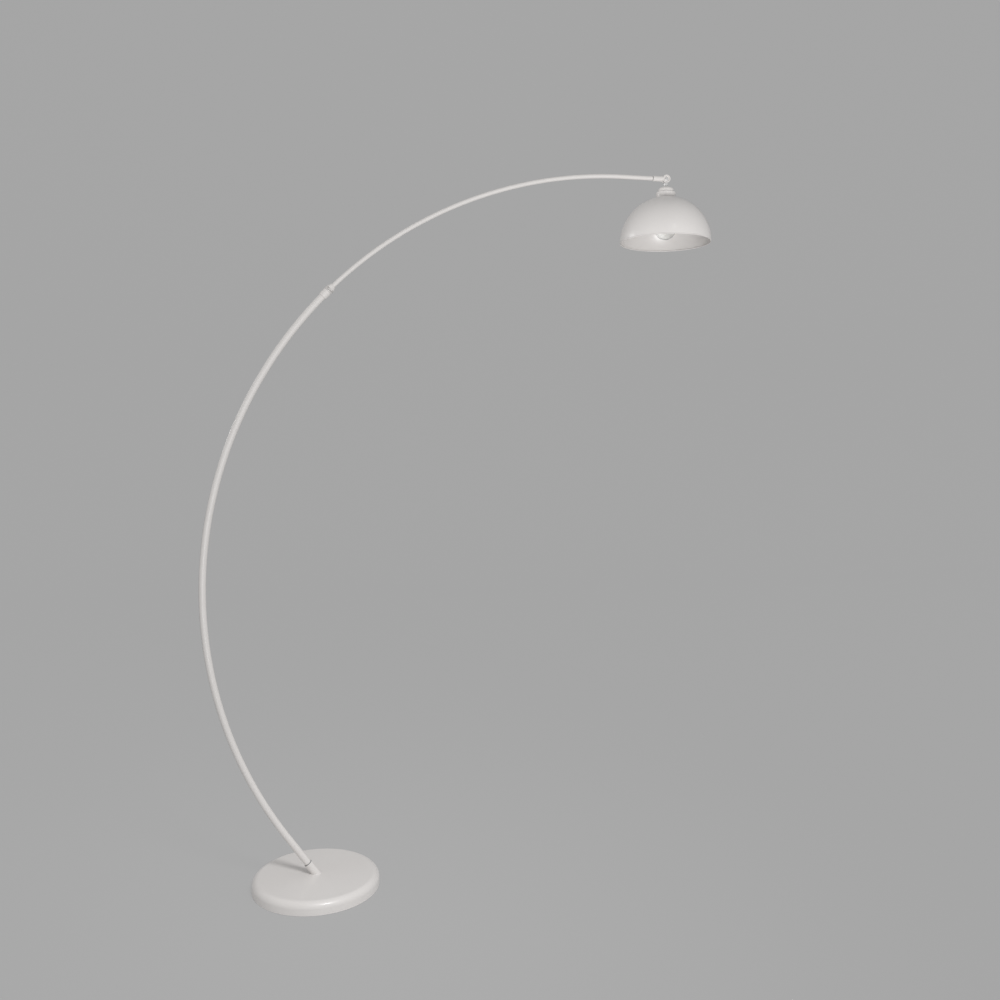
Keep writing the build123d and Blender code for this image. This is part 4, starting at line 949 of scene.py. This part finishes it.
def make_bulb():
    """Clear bulb: glass with its two faces, threaded cap, stem and filament rods with their clips."""
    mesh = bmesh.new()
    add_rings(mesh, bulb_outline(0), HEAD_PLACE, TURNS)
    inside_start = len(mesh.faces)
    add_rings(mesh, bulb_outline(GLASS_WALL), HEAD_PLACE, TURNS)
    glass = new_object(fine("bulb_glass"), mesh)
    flip_inside(glass, inside_start)
    dress(glass, "bulb_glass", finish_of("bulb_glass"))

    bottom, top = (head_height(corner.z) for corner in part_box("bulb_cap"))
    reach = radius_of("bulb_cap")
    thread_foot = bottom + CAP_SKIRT
    thread_top = top - CAP_SHOULDER
    ridge_run = (thread_top - thread_foot) / CAP_STEPS
    ridge = [(thread_foot + ridge_run * step, reach) for step in range(CAP_STEPS + 1)]
    shell = [(top, CAP_SHOULDER_RADIUS - CAP_WALL), (top, CAP_SHOULDER_RADIUS)]
    shell += ridge[::-1] + [(bottom, reach), (bottom, reach - CAP_WALL)]
    shell += [(height, reach - CAP_WALL) for height, _ in ridge]
    turn_node("bulb_cap", shell, HEAD_PLACE, TURNS, thread(CAP_PITCH, CAP_THREAD, thread_foot, thread_top))

    foot, end = (head_height(corner.z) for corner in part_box("bulb_stem"))
    flare = radius_of("bulb_stem")
    stem = outline(
        (foot, 0, 0),
        (foot, STEM_ROD_RADIUS, BOSS_EDGE),
        (end - STEM_FLARE, STEM_ROD_RADIUS, STEM_BEND),
        (end, flare, 0),
        (end, 0, 0),
        steps=STEM_STEPS,
    )
    turn_node("bulb_stem", stem, HEAD_PLACE, SMALL_TURNS)

    foot, end = (head_height(corner.z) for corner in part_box("bulb_filaments"))
    mesh = bmesh.new()
    for rod in range(FILAMENTS):
        angle = 2 * pi * rod / FILAMENTS
        centre = KNUCKLE + (X * cos(angle) + Y * sin(angle)) * FILAMENT_CIRCLE_RADIUS
        profile = outline(
            (foot, 0, 0),
            (foot, FILAMENT_RADIUS / 2, 0),
            (foot + FILAMENT_CLIP, FILAMENT_RADIUS / 2, 0),
            (foot + FILAMENT_CLIP, FILAMENT_RADIUS, FILAMENT_RADIUS / 2),
            (end - FILAMENT_CLIP, FILAMENT_RADIUS, FILAMENT_RADIUS / 2),
            (end - FILAMENT_CLIP, FILAMENT_RADIUS / 2, 0),
            (end, FILAMENT_RADIUS / 2, 0),
            (end, 0, 0),
        )
        add_rings(mesh, profile, straight(centre, Z, X), SMALL_TURNS // 4)
    dress(new_object(fine("bulb_filaments"), mesh), "bulb_filaments", finish_of("bulb_filaments"))


def flip_inside(piece, first_face):
    """Turns the inner surface of a hollow piece round, so that its wall is solid glass."""
    mesh = bmesh.new()
    mesh.from_mesh(piece.data)
    mesh.faces.ensure_lookup_table()
    bmesh.ops.reverse_faces(mesh, faces=mesh.faces[first_face:])
    mesh.to_mesh(piece.data)
    mesh.free()


def finish_cad_nodes():
    """Inner pieces keep their CAD meshes and get their slot's finish."""
    for node, piece in frame["nodes"].items():
        piece.data.materials.clear()
        piece.data.materials.append(finish_of(node))


# Stage: a pale seamless floor and backdrop, soft light and the camera of the photograph
STAGE_HALF = 9.0
STAGE_BACK = 5.0
STAGE_HEIGHT = 7.0
STAGE_BEND = 2.0
STAGE_TONE = (0.6, 0.6, 0.6)
STAGE_VARIATION = 1.02
STAGE_ROUGHNESS = (0.9, 1.0)
STAGE_CLOUD = 0.8
BACKGROUND_TONE = (0.394, 0.394, 0.394, 1)
BACKGROUND_SHARE = 0.87


def make_stage():
    """Seamless floor that bends up into a backdrop."""
    mesh = bmesh.new()
    profile = [(-STAGE_HALF, 0.0)]
    for step in range(FINE_EDGE_STEPS + 1):
        angle = pi / 2 * step / FINE_EDGE_STEPS
        profile.append((STAGE_BACK + STAGE_BEND * sin(angle), STAGE_BEND * (1 - cos(angle))))
    profile.append((STAGE_BACK + STAGE_BEND, STAGE_HEIGHT))
    rows = [[mesh.verts.new((x, y, z)) for x in (-STAGE_HALF, STAGE_HALF)] for y, z in profile]
    for first, second in zip(rows, rows[1:]):
        mesh.faces.new((first[0], first[1], second[1], second[0]))
    stage = new_object("stage", mesh)
    tones = (STAGE_TONE, [tone * STAGE_VARIATION for tone in STAGE_TONE])
    material = finish_material("stage", tones, STAGE_ROUGHNESS, STAGE_CLOUD, MM, 0)
    tree = material.node_tree
    even = tree.nodes.new("ShaderNodeEmission")
    even.inputs["Color"].default_value = BACKGROUND_TONE
    mix = tree.nodes.new("ShaderNodeMixShader")
    tree.links.new(seen_share(tree, BACKGROUND_SHARE), mix.inputs["Fac"])
    tree.links.new(tree.nodes["Principled BSDF"].outputs["BSDF"], mix.inputs[1])
    tree.links.new(even.outputs["Emission"], mix.inputs[2])
    tree.links.new(mix.outputs["Shader"], tree.nodes["Material Output"].inputs["Surface"])
    stage.data.materials.append(material)


def seen_share(tree, share):
    """A share for camera and glass rays, and nothing for the rays that light the object."""
    path = tree.nodes.new("ShaderNodeLightPath")
    larger = tree.nodes.new("ShaderNodeMath")
    larger.operation = "MAXIMUM"
    tree.links.new(path.outputs["Is Camera Ray"], larger.inputs[0])
    tree.links.new(path.outputs["Is Transmission Ray"], larger.inputs[1])
    part = tree.nodes.new("ShaderNodeMath")
    part.operation = "MULTIPLY"
    part.inputs[1].default_value = share
    tree.links.new(larger.outputs["Value"], part.inputs[0])
    return part.outputs["Value"]


def add_light(name, place, target, width, height, power, spread):
    """Rectangular soft light aimed at a point."""
    data = bpy.data.lights.new(name, "AREA")
    data.shape = "RECTANGLE"
    data.size = width
    data.size_y = height
    data.energy = power
    data.spread = spread
    light = bpy.data.objects.new(name, data)
    bpy.context.scene.collection.objects.link(light)
    light.location = place
    light.rotation_mode = "QUATERNION"
    light.rotation_quaternion = (Vector(target) - Vector(place)).to_track_quat("-Z", "Y")


WORLD_LIGHT = 0.5


# Name, place, aim, width, height, power and spread of each soft light
LIGHTS = (
    ("key", (0.85, -2.3, 2.75), (0, 0, 0.02), 0.8, 0.8, 4.8, radians(50)),
    ("front", (0.75, -2.7, 0.4), (0.95, 0, 1.8), 1.8, 0.8, 7.7, radians(60)),
    ("rim", (-1.3, 0.9, 2.0), (0.95, 0, 1.85), 0.5, 1.0, 1.6, radians(60)),
)


def make_world():
    """Even studio light from all round, seen in the backdrop's tone."""
    world = bpy.data.worlds.new("studio")
    bpy.context.scene.world = world
    world.use_nodes = True
    tree = world.node_tree
    lighting = tree.nodes["Background"]
    lighting.inputs["Color"].default_value = (1, 1, 1, 1)
    lighting.inputs["Strength"].default_value = WORLD_LIGHT
    even = tree.nodes.new("ShaderNodeBackground")
    even.inputs["Color"].default_value = BACKGROUND_TONE
    mix = tree.nodes.new("ShaderNodeMixShader")
    tree.links.new(seen_share(tree, 1), mix.inputs["Fac"])
    tree.links.new(lighting.outputs["Background"], mix.inputs[1])
    tree.links.new(even.outputs["Background"], mix.inputs[2])
    tree.links.new(mix.outputs["Shader"], tree.nodes["World Output"].inputs["Surface"])


CAMERA_PLACE = Vector((-0.0071, -2.5777, 1.2194))
CAMERA_AZIMUTH = radians(11.378)
CAMERA_PITCH = radians(3.72)
CAMERA_LENS = 34.308


def make_camera():
    """Camera of the photograph."""
    data = bpy.data.cameras.new("camera")
    data.lens = CAMERA_LENS
    data.sensor_width = 36
    camera = bpy.data.objects.new("camera", data)
    bpy.context.scene.collection.objects.link(camera)
    camera.location = CAMERA_PLACE
    level = cos(CAMERA_PITCH)
    forward = Vector((sin(CAMERA_AZIMUTH) * level, cos(CAMERA_AZIMUTH) * level, -sin(CAMERA_PITCH)))
    camera.rotation_mode = "QUATERNION"
    camera.rotation_quaternion = forward.to_track_quat("-Z", "Y")
    bpy.context.scene.camera = camera


finish_cad_nodes()
make_felt_pad()
make_base_cover()
make_grommet()
make_socket()
make_seals_with_painted_shadow()
make_tubes()
make_collar()
make_lock_nut()
make_fitting()
make_pivot()
make_tongue()
make_nipple_nut()
make_cup()
make_shade()
make_shade_ring()
make_holder()
make_bulb()
make_stage()
make_world()
for light in LIGHTS:
    add_light(*light)
make_camera()

bpy.context.scene.view_settings.view_transform = "Standard"
